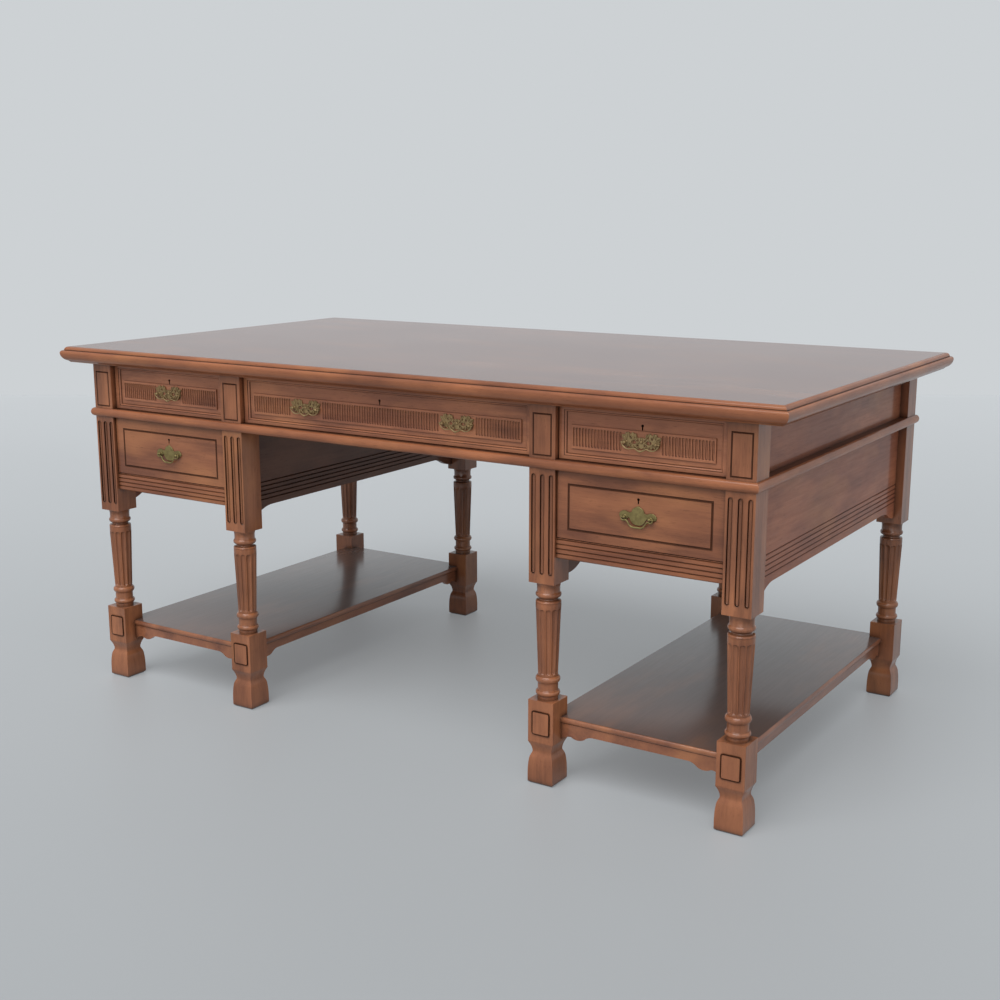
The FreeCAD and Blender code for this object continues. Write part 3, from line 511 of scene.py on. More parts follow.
    def finish(
        self,
        name: str,
        body: str,
        material: Material,
        slot: Slot,
        nodes: Sequence[str] = (),
        bevel: float = 0.0,
        sharp: float = 35.0,
        extra: Sequence[Material] = (),
    ) -> bpy.types.Object:
        """Makes the shape an object that rides on a body.

        Args:
            name: The piece's name.
            body: The CAD body that it moves with.
            material: Its finish.
            slot: The record's material slot that the finish stands for; not used.
            nodes: The CAD nodes that it replaces.
            bevel: Width of the eased edges, none where it is zero.
            sharp: Angle in degrees above which an edge stays sharp.
            extra: The finishes of the faces with material numbers 1 and up.

        Returns:
            The object.
        """
        bmesh.ops.remove_doubles(self.bm, verts=self.bm.verts, dist=MERGED)
        bmesh.ops.recalc_face_normals(self.bm, faces=self.bm.faces)
        bmesh.ops.scale(self.bm, verts=self.bm.verts, vec=(METRES, METRES, METRES))
        mesh = bpy.data.meshes.new(name)
        self.bm.to_mesh(mesh)
        self.bm.free()
        for finish in (material, *extra):
            mesh.materials.append(finish)
        mesh.shade_smooth()
        mesh.set_sharp_from_angle(angle=math.radians(sharp))
        piece = bpy.data.objects.new(name, mesh)
        bpy.context.scene.collection.objects.link(piece)
        if bevel:
            eased = piece.modifiers.new("Eased edges", "BEVEL")
            eased.width = bevel * METRES
            eased.segments = 2
            eased.limit_method = "ANGLE"
            eased.angle_limit = math.radians(BEVEL_FROM)
            eased.harden_normals = True
        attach(piece, body)
        if nodes:
            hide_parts(*nodes)
        return piece


# Finishes


class Graph:
    """The node graph of a material or of the world, with one short call for each node."""

    def __init__(self, owner: Material | bpy.types.World) -> None:
        """Empties its owner's graph."""
        owner.use_nodes = True
        self.owner = owner
        self.tree = owner.node_tree
        self.tree.nodes.clear()

    def add(self, kind: str, inputs: dict | None = None, **settings: object) -> bpy.types.Node:
        """Adds a node.

        Args:
            kind: The node's type.
            inputs: Values or sockets for its inputs, by name or number.
            **settings: The node's own settings.

        Returns:
            The node.
        """
        node = self.tree.nodes.new(kind)
        for key, value in settings.items():
            setattr(node, key, value)
        for key, value in (inputs or {}).items():
            if isinstance(value, Socket):
                self.tree.links.new(value, node.inputs[key])
            else:
                node.inputs[key].default_value = value
        return node

    def math(self, operation: str, *values: object) -> Socket:
        """Works out a number from numbers or sockets."""
        node = self.add("ShaderNodeMath", dict(enumerate(values)), operation=operation)
        return node.outputs[0]

    def noise(self, vector: Socket, scale: float, detail: float, roughness: float = 0.5) -> Socket:
        """Gives soft noise at a scale."""
        inputs = {"Vector": vector, "Scale": scale, "Detail": detail, "Roughness": roughness}
        return self.add("ShaderNodeTexNoise", inputs).outputs["Fac"]

    def mix(self, factor: object, first: object, second: object) -> Socket:
        """Mixes two colours."""
        inputs = {0: factor, 6: first, 7: second}
        node = self.add("ShaderNodeMix", inputs, data_type="RGBA", clamp_factor=True)
        return node.outputs[2]

    def spread(self, value: Socket, low: float, high: float) -> Socket:
        """Stretches a value so that low becomes 0 and high becomes 1."""
        inputs = {"Value": value, "From Min": low, "From Max": high}
        return self.add("ShaderNodeMapRange", inputs, clamp=True).outputs[0]

    def crevice(self, reach: float, low: float, high: float) -> Socket:
        """Finds the hollows and corners, where little of the sky is seen.

        Args:
            reach: How far from a corner it spreads, in metres.
            low: Openness at which there is none.
            high: Openness at which there is most.

        Returns:
            How far each point lies in such a place.
        """
        open_sky = self.add("ShaderNodeAmbientOcclusion", {"Distance": reach}, samples=6)
        return self.spread(open_sky.outputs["AO"], low, high)

    def shade(self, inputs: dict) -> Material:
        """Ends the graph in one principled shader."""
        shader = self.add("ShaderNodeBsdfPrincipled", inputs)
        self.add("ShaderNodeOutputMaterial", {"Surface": shader.outputs[0]})
        return self.owner


@dataclass(frozen=True)
class Pattern:
    """A soft pattern in a board.

    Attributes:
        detail: How many finer layers it has.
        low: Value of its noise at which it begins.
        high: Value at which it is full.
        scale: How often it repeats in a metre.
        stretch: How much more often along and across the grain, where that differs.
        roughness: How strong the finer layers are.
    """

    detail: float
    low: float = 0.0
    high: float = 1.0
    scale: float = 1.0
    stretch: Triple | None = None
    roughness: float = 0.5

    def noise(self, g: Graph, board: Socket) -> Socket:
        """Gives the pattern's bare noise on a board."""
        space = board
        if self.stretch:
            space = g.add("ShaderNodeMapping", {"Vector": board, "Scale": self.stretch}).outputs[0]
        return g.noise(space, self.scale, self.detail, self.roughness)

    def shown(self, g: Graph, board: Socket) -> Socket:
        """Gives the pattern on a board, from 0 where it is absent to 1 where it is full."""
        return g.spread(self.noise(g, board), self.low, self.high)


class Figure(Enum):
    """The patterns that show in the wood, beside its growth rings."""

    STREAKS = Pattern(5.0, low=0.3, high=0.72, stretch=(9.0, 190.0, 190.0), roughness=0.6)
    PORES = Pattern(2.0, low=0.62, high=0.74, stretch=(60.0, 1100.0, 1100.0))
    FLAMES = Pattern(3.0, low=0.36, high=0.66, stretch=(7.0, 22.0, 22.0), roughness=0.55)
    WARM = Pattern(3.0, low=0.35, high=0.68, scale=3.2)
    GOLD = Pattern(3.0, low=0.52, high=0.68, stretch=(3.6, 9.0, 9.0))


@dataclass(frozen=True)
class Wood:
    """Varnished or bare wood with grain, pores, soft figure, and old wax with painted shade in its
    corners.

    Attributes:
        name: Name of the finish.
        light: Colour of the early wood.
        dark: Colour of the late wood.
        warm: Colour of the redder patches.
        glow: Colour of the golden patches.
        patina: Colour of the old wax in the pores, and of the old wax and painted shade in corners and
            grooves.
        roughness: Mean roughness of the surface.
        coat: Weight of the varnish.
        wear: How far corners are darkened with old wax and painted shade.
        film: Colour of the aged polish and painted sheen on surfaces that face up.
        settled: How much of it lies there.
        haze: Roughness of the varnish.
        ring_share: Part of the growth rings in the wood's light and dark.
        streak_share: Part of the fine streaks.
        flame_share: Part of the broad flames.
        warm_share: Most that the redder patches take.
        gold_share: Most that the golden patches take.
        pore_share: Most that the pores take.
        growth: The noise that the growth rings follow.
        rings: How many rings that noise is cut into.
        uneven: How much rougher the streaks and the redder patches are.
        mottling: How unevenly the polish and painted sheen lie.
        shift: How far the figure moves from one board to the next, in metres.
    """

    name: str
    light: Triple
    dark: Triple
    warm: Triple
    glow: Triple
    patina: Triple
    roughness: float
    coat: float
    wear: float
    film: Triple = (0.10, 0.045, 0.030)
    settled: float = 0.0
    haze: float = 0.10
    ring_share: float = 0.26
    streak_share: float = 0.26
    flame_share: float = 0.48
    warm_share: float = 0.5
    gold_share: float = 0.55
    pore_share: float = 0.45
    growth: Pattern = Pattern(4.0, scale=1.3, stretch=(1.0, 9.0, 9.0), roughness=0.55)
    rings: float = 7.0
    uneven: Pair = (0.10, 0.06)
    mottling: float = 0.13
    shift: Triple = (0.37, 0.73, 0.19)

    def tint(self, g: Graph, board: Socket, seen: dict[Figure, Socket]) -> Socket:
        """Mixes the wood's own colour from its patterns.

        Args:
            g: The material's graph.
            board: The board's space, turned so that the grain runs along X.
            seen: The patterns.

        Returns:
            The colour.
        """
        growth = g.math("MULTIPLY", self.growth.noise(g, board), self.rings)
        tone = g.math("MULTIPLY", g.math("PINGPONG", growth, 1.0), self.ring_share)
        shares = {Figure.STREAKS: self.streak_share, Figure.FLAMES: self.flame_share}
        for figure, share in shares.items():
            tone = g.math("ADD", tone, g.math("MULTIPLY", seen[figure], share))
        colour = g.mix(tone, (*self.light, 1.0), (*self.dark, 1.0))
        layers = (
            (Figure.WARM, self.warm_share, self.warm),
            (Figure.GOLD, self.gold_share, self.glow),
            (Figure.PORES, self.pore_share, self.patina),
        )
        for figure, share, paint in layers:
            colour = g.mix(g.math("MULTIPLY", seen[figure], share), colour, (*paint, 1.0))
        return colour

    def polished(self, g: Graph, colour: Socket, seen: dict[Figure, Socket]) -> Socket:
        """Lays the aged polish and a painted sheen over what faces up, a little unevenly.

        Args:
            g: The material's graph.
            colour: The wood's own colour.
            seen: The patterns.

        Returns:
            The colour.
        """
        facing = g.add("ShaderNodeNewGeometry").outputs["Normal"]
        rise = g.spread(g.add("ShaderNodeSeparateXYZ", {0: facing}).outputs[2], 0.9, 0.995)
        spots = g.math("SUBTRACT", seen[Figure.WARM], seen[Figure.GOLD])
        depth = g.math("ADD", g.math("MULTIPLY", spots, self.mottling), self.settled)
        polish_and_sheen_cover = g.math("MULTIPLY", rise, depth)
        return g.mix(polish_and_sheen_cover, colour, (*self.film, 1.0))

    def build(self, grain: Grain, seed: int) -> Material:
        """Makes the material for one direction of grain.

        Args:
            grain: The axis that the grain runs along.
            seed: Number that moves the figure from board to board.

        Returns:
            The material.
        """
        name = f"{self.name}_{grain.name.lower()}_{seed}"
        if name in bpy.data.materials:
            return bpy.data.materials[name]
        g = Graph(bpy.data.materials.new(name))
        place = g.add("ShaderNodeTexCoord").outputs["Object"]
        shift = tuple(seed * step for step in self.shift)
        inputs = {"Vector": place, "Location": shift, "Rotation": grain.value}
        board = g.add("ShaderNodeMapping", inputs).outputs[0]
        seen = {figure: figure.value.shown(g, board) for figure in Figure}
        streaks, warm = seen[Figure.STREAKS], seen[Figure.WARM]
        colour = self.tint(g, board, seen)
        # What faces up gets the aged polish with a painted sheen.
        if self.settled:
            colour = self.polished(g, colour, seen)
        # Old wax and painted shade darken the corners and hollows that see little of the sky.
        wax_and_shade_cover = g.math("MULTIPLY", g.crevice(reach=0.014, low=0.92, high=0.3), self.wear)
        colour = g.mix(wax_and_shade_cover, colour, (*self.patina, 1.0))
        least = self.roughness - self.uneven[0] / 2
        rough = g.math("ADD", g.math("MULTIPLY", streaks, self.uneven[0]), least)
        rough = g.math("ADD", rough, g.math("MULTIPLY", warm, self.uneven[1]))
        height = g.math("SUBTRACT", g.math("MULTIPLY", streaks, 0.5), seen[Figure.PORES])
        bump = g.add("ShaderNodeBump", {"Height": height, "Strength": 0.12, "Distance": 0.0004})
        return g.shade(
            {
                "Base Color": colour,
                "Roughness": rough,
                "Normal": bump.outputs[0],
                "Specular IOR Level": 0.1,
                "Coat Weight": self.coat,
                "Coat Roughness": self.haze,
                "Coat IOR": 1.5,
            }
        )


@dataclass(frozen=True)
class Metal:
    """Aged cast metal, brighter on what hands touch and dull in its hollows.

    Attributes:
        name: Name of the finish.
        bright: Colour of the rubbed metal.
        dull: Colour of the tarnish.
        metallic: How metallic the surface is.
        roughness: Mean roughness.
    """

    name: str
    bright: Triple
    dull: Triple
    metallic: float
    roughness: float

    def build(self) -> Material:
        """Makes the material."""
        if self.name in bpy.data.materials:
            return bpy.data.materials[self.name]
        g = Graph(bpy.data.materials.new(self.name))
        place = g.add("ShaderNodeTexCoord").outputs["Object"]
        cloud = g.spread(g.noise(place, scale=130.0, detail=4.0, roughness=0.6), low=0.35, high=0.66)
        speck = g.noise(place, scale=900.0, detail=3.0)
        hollow = g.crevice(reach=0.004, low=0.95, high=0.35)
        dulled = g.math("MAXIMUM", g.math("MULTIPLY", cloud, 0.45), hollow)
        colour = g.mix(dulled, (*self.bright, 1.0), (*self.dull, 1.0))
        rough = g.math("ADD", g.math("MULTIPLY", cloud, 0.18), self.roughness)
        bump = g.add("ShaderNodeBump", {"Height": speck, "Strength": 0.15, "Distance": 0.0003})
        return g.shade(
            {
                "Base Color": colour,
                "Metallic": self.metallic,
                "Specular IOR Level": 0.2,
                "Roughness": rough,
                "Normal": bump.outputs[0],
            }
        )


HARDWOOD = Wood(
    name="polished_hardwood",
    light=(0.405, 0.155, 0.071),
    dark=(0.125, 0.045, 0.026),
    warm=(0.235, 0.080, 0.041),
    glow=(0.47, 0.190, 0.078),
    patina=(0.030, 0.012, 0.007),
    roughness=0.45,
    coat=0.65,
    wear=0.9,
)
# The top and the shelves lay a grey layer over what faces up: aged polish with a painted sheen.
TOP_WOOD = replace(
    HARDWOOD, name="polished_top", coat=0.84, film=(0.135, 0.057, 0.041), settled=0.75
)
SHELF_WOOD = replace(
    HARDWOOD,
    name="polished_shelf",
    coat=0.97,
    film=(0.094, 0.070, 0.064),
    settled=0.82,
    haze=0.19,
)
# A lighter copy of the hardwood: painted light on the edges of the top and on the waist moulding.
LIT_EDGE_WOOD = replace(
    HARDWOOD,
    name="polished_edge",
    light=(0.49, 0.180, 0.077),
    dark=(0.16, 0.057, 0.030),
    warm=(0.30, 0.102, 0.049),
    glow=(0.54, 0.215, 0.083),
    coat=0.6,
)
LEG_WOOD = replace(
    HARDWOOD,
    name="polished_leg",
    light=(0.50, 0.192, 0.084),
    dark=(0.130, 0.047, 0.024),
    warm=(0.26, 0.090, 0.042),
    glow=(0.50, 0.205, 0.082),
    coat=0.75,
)
# A darker copy of the leg wood: painted shade on the back legs.
SHADED_BACK_LEG_WOOD = replace(
    LEG_WOOD,
    name="polished_back_leg",
    light=(0.38, 0.146, 0.064),
    dark=(0.095, 0.035, 0.019),
    warm=(0.20, 0.070, 0.034),
    glow=(0.42, 0.172, 0.068),
)
SIDE_WOOD = replace(
    HARDWOOD,
    name="polished_side",
    light=(0.48, 0.176, 0.086),
    dark=(0.150, 0.052, 0.030),
    warm=(0.31, 0.092, 0.049),
    coat=0.40,
)
# A lighter copy of the hardwood: painted light on the frieze drawer fronts under the top's overhang.
LIT_FRONT_WOOD = replace(
    HARDWOOD,
    name="polished_front",
    light=(0.58, 0.230, 0.112),
    dark=(0.180, 0.067, 0.040),
    warm=(0.33, 0.118, 0.065),
    glow=(0.62, 0.255, 0.114),
    wear=0.6,
)
SHADED_WOOD = replace(
    HARDWOOD,
    name="darkened_hardwood",
    light=(0.22, 0.095, 0.055),
    dark=(0.075, 0.032, 0.020),
    warm=(0.13, 0.050, 0.030),
    glow=(0.20, 0.090, 0.050),
    coat=0.4,
)
# Dark finish: old wax with painted shade in the incised lines; painted shade on the frieze fronts'
# frame steps, in the top's quirk, on the waist moulding's ledge and inside the keyholes.
DARK_WAX_AND_SHADE_FINISH = replace(
    HARDWOOD,
    name="waxed_groove",
    light=(0.15, 0.056, 0.028),
    dark=(0.068, 0.026, 0.014),
    warm=(0.10, 0.036, 0.018),
    glow=(0.15, 0.060, 0.028),
    roughness=0.55,
    coat=0.2,
    wear=0.7,
)
BARE_WOOD = Wood(
    name="plain_wood",
    light=(0.44, 0.28, 0.15),
    dark=(0.28, 0.16, 0.08),
    warm=(0.36, 0.20, 0.10),
    glow=(0.46, 0.30, 0.16),
    patina=(0.08, 0.045, 0.025),
    roughness=0.62,
    coat=0.0,
    wear=0.5,
)
BRASS = Metal("worn_brass", (0.28, 0.225, 0.092), (0.10, 0.072, 0.032), 0.75, 0.44)
SCROLL_BRASS = Metal("worn_scroll_brass", (0.40, 0.290, 0.140), (0.20, 0.120, 0.060), 0.7, 0.42)
LOCK_STEEL = Metal("lock_steel", (0.30, 0.28, 0.25), (0.06, 0.05, 0.045), 0.9, 0.42)


# Sub-assemblies


class TopPaint(Enum):
    """Material numbers of the top board's faces, apart from its long edges, which keep 0."""

    FLAT = 1
    END = 2
    QUIRK = 3


@dataclass
class TopBoard:
    """The writing surface with its thumb moulding, quirk and ovolo.

    Attributes:
        edge: Setback from the nose and height of each point of the edge, with its arcs.
        quirk: Lowest and highest point of its quirk, whose dark finish is painted shade.
        arris: Inset and drop of the eased corner where the edge meets the flat.
    """

    edge: tuple[Row, ...] = (
        (16.0, 0.0),
        (13.0, 3.0),
        (0.0, 21.0, 3.6, 7),
        (5.5, 27.0, 1.5, 7),
        (7.0, 27.0),
        (7.0, 28.0),
        (14.0, 35.0, 1.7, 7),
    )
    quirk: Pair = (26.6, 28.2)
    arris: Pair = (0.6, 0.5)

    def paint(self, face: bmesh.types.BMFace, foot: float, head: float) -> None:
        """Gives a face of the board its material number.

        Args:
            face: The face.
            foot: Height of the board's underside.
            head: Height of its flat.
        """
        face.normal_update()
        level = face.calc_center_median().z - foot
        if min(vert.co.z for vert in face.verts) > head - LEVEL:
            face.material_index = TopPaint.FLAT.value
        elif self.quirk[0] < level < self.quirk[1]:
            face.material_index = TopPaint.QUIRK.value
        elif abs(face.normal.x) > abs(face.normal.y):
            face.material_index = TopPaint.END.value

    def build(self) -> None:
        """Builds the board in the place of its CAD node."""
        name = "top_board"
        low, high = node_box(name)
        inset, drop = self.arris
        *sides, (setback, rise) = drawn(self.edge)
        sides += [(setback, rise - drop), (setback + inset, rise)]
        form = Form()
        form.rings_up([(high.x - back, high.y - back, low.z + up) for back, up in sides], 0.0, 0.0)
        for face in form.bm.faces:
            self.paint(face, low.z, high.z)
        # The long edges and the ends get the lighter edge wood, painted light; the flat gets aged
        # polish with painted sheen; the quirk gets the dark finish, painted shade.
        edge = LIT_EDGE_WOOD.build(Grain.ACROSS, 1)
        others = [TOP_WOOD.build(Grain.ACROSS, 1), LIT_EDGE_WOOD.build(Grain.DEEP, 1)]
        others.append(DARK_WAX_AND_SHADE_FINISH.build(Grain.ACROSS, 1))
        form.finish(f"{name}_moulded", "desk", edge, Slot.HARDWOOD, [name], extra=others)


@dataclass
class WaistMoulding:
    """The half-round moulding between the frieze and the pedestals, in four mitred lengths.

    Attributes:
        nose: How far the half-round stands out.
        steps: Facets of the half-round.
    """

    nose: float = 7.5
    steps: int = 12

    def length(self, name: str, turn: float, half: float, outer: float, inner: float) -> None:
        """Builds one length, drawn as the front one and then turned.

        Args:
            name: The CAD node that it replaces.
            turn: The turn about the vertical axis.
            half: Half of its length at the nose.
            outer: Distance of the nose from the middle of the desk.
            inner: Distance of its inner edge.
        """
        low, high = node_box(name)
        middle, rise = (low.z + high.z) / 2, (high.z - low.z) / 2
        section = []
        for i in range(self.steps + 1):
            angle = -math.pi / 2 + math.pi * i / self.steps
            reach = outer - self.nose + self.nose * math.cos(angle)
            section.append((reach, middle + rise * math.sin(angle)))
        section += [(inner, high.z), (inner, low.z)]
        form = Form()
        edges = form.loop([(outer - half - reach, -reach, z) for reach, z in section])
        form.cap(edges, (-1, 0, 0))
        far = form.step(edges, lambda co: Vector((-co.x, co.y, co.z)))
        form.cap(far, (1, 0, 0))
        # The flat top behind the nose gets material 1, the dark finish: painted shade on the ledge;
        # the rest gets the lighter edge wood, painted light.
        for face in form.bm.faces:
            face.normal_update()
            level = min(vert.co.z for vert in face.verts)
            face.material_index = int(level > high.z - LEVEL and len(face.verts) == 4)
        form.turn(turn)
        grain = Grain.ACROSS if name.endswith(("front", "back")) else Grain.DEEP
        finish, ledge_shade = LIT_EDGE_WOOD.build(grain, 2), DARK_WAX_AND_SHADE_FINISH.build(grain, 2)
        form.finish(f"{name}_moulded", "desk", finish, Slot.HARDWOOD, [name], extra=(ledge_shade,))

    def build(self) -> None:
        """Builds the four lengths."""
        front_low, front_high = node_box("waist_rail_front")
        side_low, side_high = node_box("waist_rail_right")
        long_half, short_half = front_high.x, side_high.y
        front = (long_half, -front_low.y, -front_high.y)
        side = (short_half, side_high.x, side_low.x)
        turns = {"front": 0.0, "right": math.pi / 2, "back": math.pi, "left": -math.pi / 2}
        for word, turn in turns.items():
            sizes = front if word in ("front", "back") else side
            self.length(f"waist_rail_{word}", turn, *sizes)


@dataclass
class FriezePost:
    """A post at the end of a frieze drawer, with an incised rectangle on its face.

    Attributes:
        margin: Width left at each side of the rectangle.
        foot: Width left under it.
        head: Width left over it.
        line: Width of the incised line.
        depth: Depth of the line.
    """

    margin: float = 7.1
    foot: float = 4.0
    head: float = 18.5
    line: float = 3.4
    depth: float = 1.6

    def build(self, name: str, seed: int) -> None:
        """Builds one post in the place of its CAD node."""
        low, high = node_box(name)
        form = Form()
        face = low.y
        x0, x1 = low.x + self.margin, high.x - self.margin
        z0, z1 = low.z + self.foot, high.z - self.head
        half, line = self.line / 2, self.line
        rings = [
            (low.x, high.x, low.z, high.z, high.y),
            (low.x, high.x, low.z, high.z, face + EASE),
            (low.x + EASE, high.x - EASE, low.z, high.z, face),
            (x0, x1, z0, z1, face),
            (x0 + half, x1 - half, z0 + half, z1 - half, face + self.depth),
            (x0 + line, x1 - line, z0 + line, z1 - line, face),
        ]
        # The incised line's walls get the dark finish: old wax with painted shade.
        form.cap(form.rings_in(rings, dark=(4, 5)), (0, -1, 0))
        finish = LEG_WOOD.build(Grain.UPRIGHT, seed)
        groove = DARK_WAX_AND_SHADE_FINISH.build(Grain.UPRIGHT, seed)
        form.finish(f"{name}_carved", "desk", finish, Slot.HARDWOOD, [name], sharp=25, extra=(groove,))


@dataclass
class Leg:
    """A leg: sawn foot, square block, turned and fluted shaft, square upper block.

    Attributes:
        half: Half of the width of the square blocks.
        foot: Half width and height of each point of the sawn foot.
        block: Foot and head of the lower block.
        arris: Width of the eased corner at the head of a plain lower block.
        upper_foot: Foot of the upper block.
        base: Radius and height of each point of the turned rings under the shaft, with their arcs.
        neck: The same of the rings over it.
        shaft: Foot and head of the shaft.
        radii: Its radius at its foot and at its head.
        flutes: How many flutes it has.
        facets: Facets of the shaft for each flute.
        flute_depth: Depth of a flute.
        flute_share: Half width of a flute's mouth, as a share of the shaft's radius.
        flute_stop: Plain length of the shaft at each of its ends.
        lead: How far before a flute's end the last plain row of corners lies.
        flute_rows: How far into a flute its close-set rows of corners lie.
        flute_run: Length of the shaft between the close-set rows, where rows are even.
        run_rows: How many even rows there are.
        panel: Half width, foot, head and corner radius of the rectangle on the lower block.
        panel_cuts: Inset and depth of each side of its line.
        slots: Middles of the slots on the upper block.
        slot_half: Half of the width of a slot.
        slot_margins: Height left under a slot and over it.
        slot_steps: Edges in each round end of a slot.
        slot_cuts: Inset and depth of each step of a slot.
    """

    half: float = 27.6
    foot: tuple[Pair, ...] = (
        (23.8, 0.0),
        (27.2, 3.2),
        (27.7, 5.0),
        (27.7, 22.0),
        (27.4, 32.0),
        (26.8, 41.0),
        (25.7, 50.0),
        (24.9, 53.5),
        (23.2, 58.0),
        (21.4, 61.6),
        (20.8, 64.0),
        (21.1, 68.0),
        (22.2, 73.0),
        (24.0, 78.0),
        (26.0, 82.0),
        (27.2, 84.6),
        (27.6, 86.0),
    )
    block: Pair = (85.6, 169.4)
    arris: float = 0.6
    upper_foot: float = 400.7
    base: tuple[Row, ...] = (
        (0.0, 168.0),
        (20.0, 168.0),
        (20.0, 177.0),
        (21.0, 177.2),
        (21.0, 186.8, -2.5, 8),
        (20.0, 187.0),
        (20.0, 187.6),
        (19.6, 188.2),
        (19.6, 201.0),
        (20.0, 201.6),
        (20.0, 202.6),
        (20.6, 202.9),
        (20.4, 215.6, -3.4, 10),
        (19.4, 216.0),
        (0.0, 216.0),
    )
    neck: tuple[Row, ...] = (
        (0.0, 353.0),
        (24.4, 353.0),
        (24.4, 359.0),
        (23.9, 359.4),
        (23.9, 360.6),
        (24.4, 361.0),
        (24.4, 362.6),
        (23.4, 364.4),
        (20.4, 365.4),
        (20.4, 370.6, 2.1, 8),
        (22.4, 371.4),
        (22.4, 380.6, -2.2, 8),
        (22.0, 381.4),
        (22.0, 393.0),
        (22.6, 393.4),
        (26.9, 401.5, 1.3, 6),
        (0.0, 401.5),
    )
    shaft: Pair = (216.0, 353.0)
    radii: Pair = (19.3, 24.4)
    flutes: int = 12
    facets: int = 12
    flute_depth: float = 3.0
    flute_share: float = 0.21
    flute_stop: float = 3.5
    lead: float = 0.4
    flute_rows: tuple[float, ...] = (0.0, 0.5, 1.1, 1.9, 2.8, 4.0)
    flute_run: float = 121.0
    run_rows: int = 10
    panel: tuple[float, float, float, float] = (19.7, 100.0, 148.0, 5.0)
    panel_cuts: tuple[Pair, ...] = ((1.3, 2.0), (1.3, -2.0))
    slots: tuple[float, ...] = (-18.5, 0.0, 18.5)
    slot_half: float = 3.9
    slot_margins: Pair = (18.2, 11.3)
    slot_steps: int = 8
    slot_cuts: tuple[Pair, ...] = ((0.5, 1.6), (1.1, 1.2), (1.3, 0.4))

    def rows(self) -> list[float]:
        """Heights of the shaft's rows of corners, closer together where the flutes end."""
        foot, head = self.shaft
        first, last = foot + self.flute_stop, head - self.flute_stop
        even = self.flute_run / self.run_rows
        levels = [foot, first - self.lead]
        levels += [first + rise for rise in self.flute_rows]
        levels += [first + self.flute_rows[-1] + even * i for i in range(1, self.run_rows + 1)]
        levels += [last - rise for rise in reversed(self.flute_rows[:-1])]
        return [*levels, last + self.lead, head]

    def pressed(self, co: Vector, x: float, y: float) -> Vector:
        """Presses a corner of the plain shaft in where it lies in a flute.

        Args:
            co: The corner's place.
            x: The leg's axis along X.
            y: The leg's axis along Y.

        Returns:
            Its new place.
        """
        foot, head = self.shaft
        dx, dy = co.x - x, co.y - y
        radius = math.hypot(dx, dy)
        into = min(co.z - foot, head - co.z) - self.flute_stop
        if into < 0 or radius < self.radii[0] / 2:
            return co
        cell = 2 * math.pi / self.flutes
        away = abs((math.atan2(dy, dx) + cell / 2) % cell - cell / 2) / self.flute_share
        mouth = radius * self.flute_share
        if into < mouth:
            away = math.hypot(away, 1 - into / mouth)
        if away >= 1:
            return co
        scale = 1 - self.flute_depth * math.sqrt(1 - away * away) / radius
        return Vector((x + dx * scale, y + dy * scale, co.z))

    def fluted(self, form: Form, x: float, y: float) -> None:
        """Adds the tapered shaft with its flutes.

        Args:
            form: The leg's shape.
            x: The leg's axis along X.
            y: The leg's axis along Y.
        """
        foot, head = self.shaft
        thin, thick = self.radii
        profile = [(thin + (thick - thin) * (z - foot) / (head - foot), z) for z in self.rows()]
        known = set(form.bm.verts)
        form.spin([(0.0, foot), *profile, (0.0, head)], x, y, self.flutes * self.facets)
        for vert in form.bm.verts:
            if vert not in known:
                vert.co = self.pressed(vert.co, x, y)

    def squared(self, form: Form, x: float, y: float, z0: float, z1: float) -> Edges:
        """Adds a square block that is open at the front.

        Args:
            form: The leg's shape.
            x: The leg's axis along X.
            y: The leg's axis along Y.
            z0: Foot of the block.
            z1: Head of the block.

        Returns:
            The edges of the open front.
        """
        half, face, back = self.half, y - self.half, y + self.half
        rings = [
            (x - half + EASE, x + half - EASE, z0, z1, back),
            (x - half, x + half, z0, z1, back - EASE),
            (x - half, x + half, z0, z1, face + EASE),
            (x - half + EASE, x + half - EASE, z0, z1, face),
        ]
        return form.rings_in(rings)

    def upper_block(self, form: Form, x: float, y: float, head: float, carved: bool) -> None:
        """Adds the upper block, with round-ended slots where it is carved.

        Args:
            form: The leg's shape.
            x: The leg's axis along X.
            y: The leg's axis along Y.
            head: Head of the block.
            carved: Whether its front has the slots.
        """
        edges = self.squared(form, x, y, self.upper_foot, head)
        if not carved:
            form.cap(edges, (0, -1, 0))
            return
        low, high = self.upper_foot + self.slot_margins[0], head - self.slot_margins[1]
        for middle in self.slots:
            outline = stadium(x + middle, low, high, self.slot_half, self.slot_steps)
            edges = edges + form.recess(outline, y - self.half, self.slot_cuts)
        form.fill(edges, (0, -1, 0))

    def lower_block(self, form: Form, x: float, y: float) -> None:
        """Adds the lower block, its front carved with a rounded rectangle."""
        edges = self.squared(form, x, y, *self.block)
        half, foot, head, radius = self.panel
        outline = rounded(x - half, x + half, foot, head, radius)
        # The rounded rectangle's line gets material 1, the dark finish: old wax with painted shade.
        edges = edges + form.recess(outline, y - self.half, self.panel_cuts, paint=1)
        form.fill(edges, (0, -1, 0))

    def build(self, name: str, seed: int) -> None:
        """Builds one leg in the place of its CAD node.

        Args:
            name: The node's name, which ends in front or back.
            seed: Number of the board's figure.
        """
        low, high = node_box(name)
        x, y = (low.x + high.x) / 2, (low.y + high.y) / 2
        carved = name.endswith("front")
        form = Form()
        rings = [(half, half, z) for half, z in self.foot]
        if carved:
            form.rings_up(rings, x, y)
            self.lower_block(form, x, y)
        else:
            head, inner = self.block[1], self.half - self.arris
            rings += [(self.half, self.half, head - self.arris), (inner, inner, head)]
            form.rings_up(rings, x, y)
        form.spin(drawn(self.base), x, y)
        self.fluted(form, x, y)
        form.spin(drawn(self.neck), x, y)
        self.upper_block(form, x, y, high.z, carved)
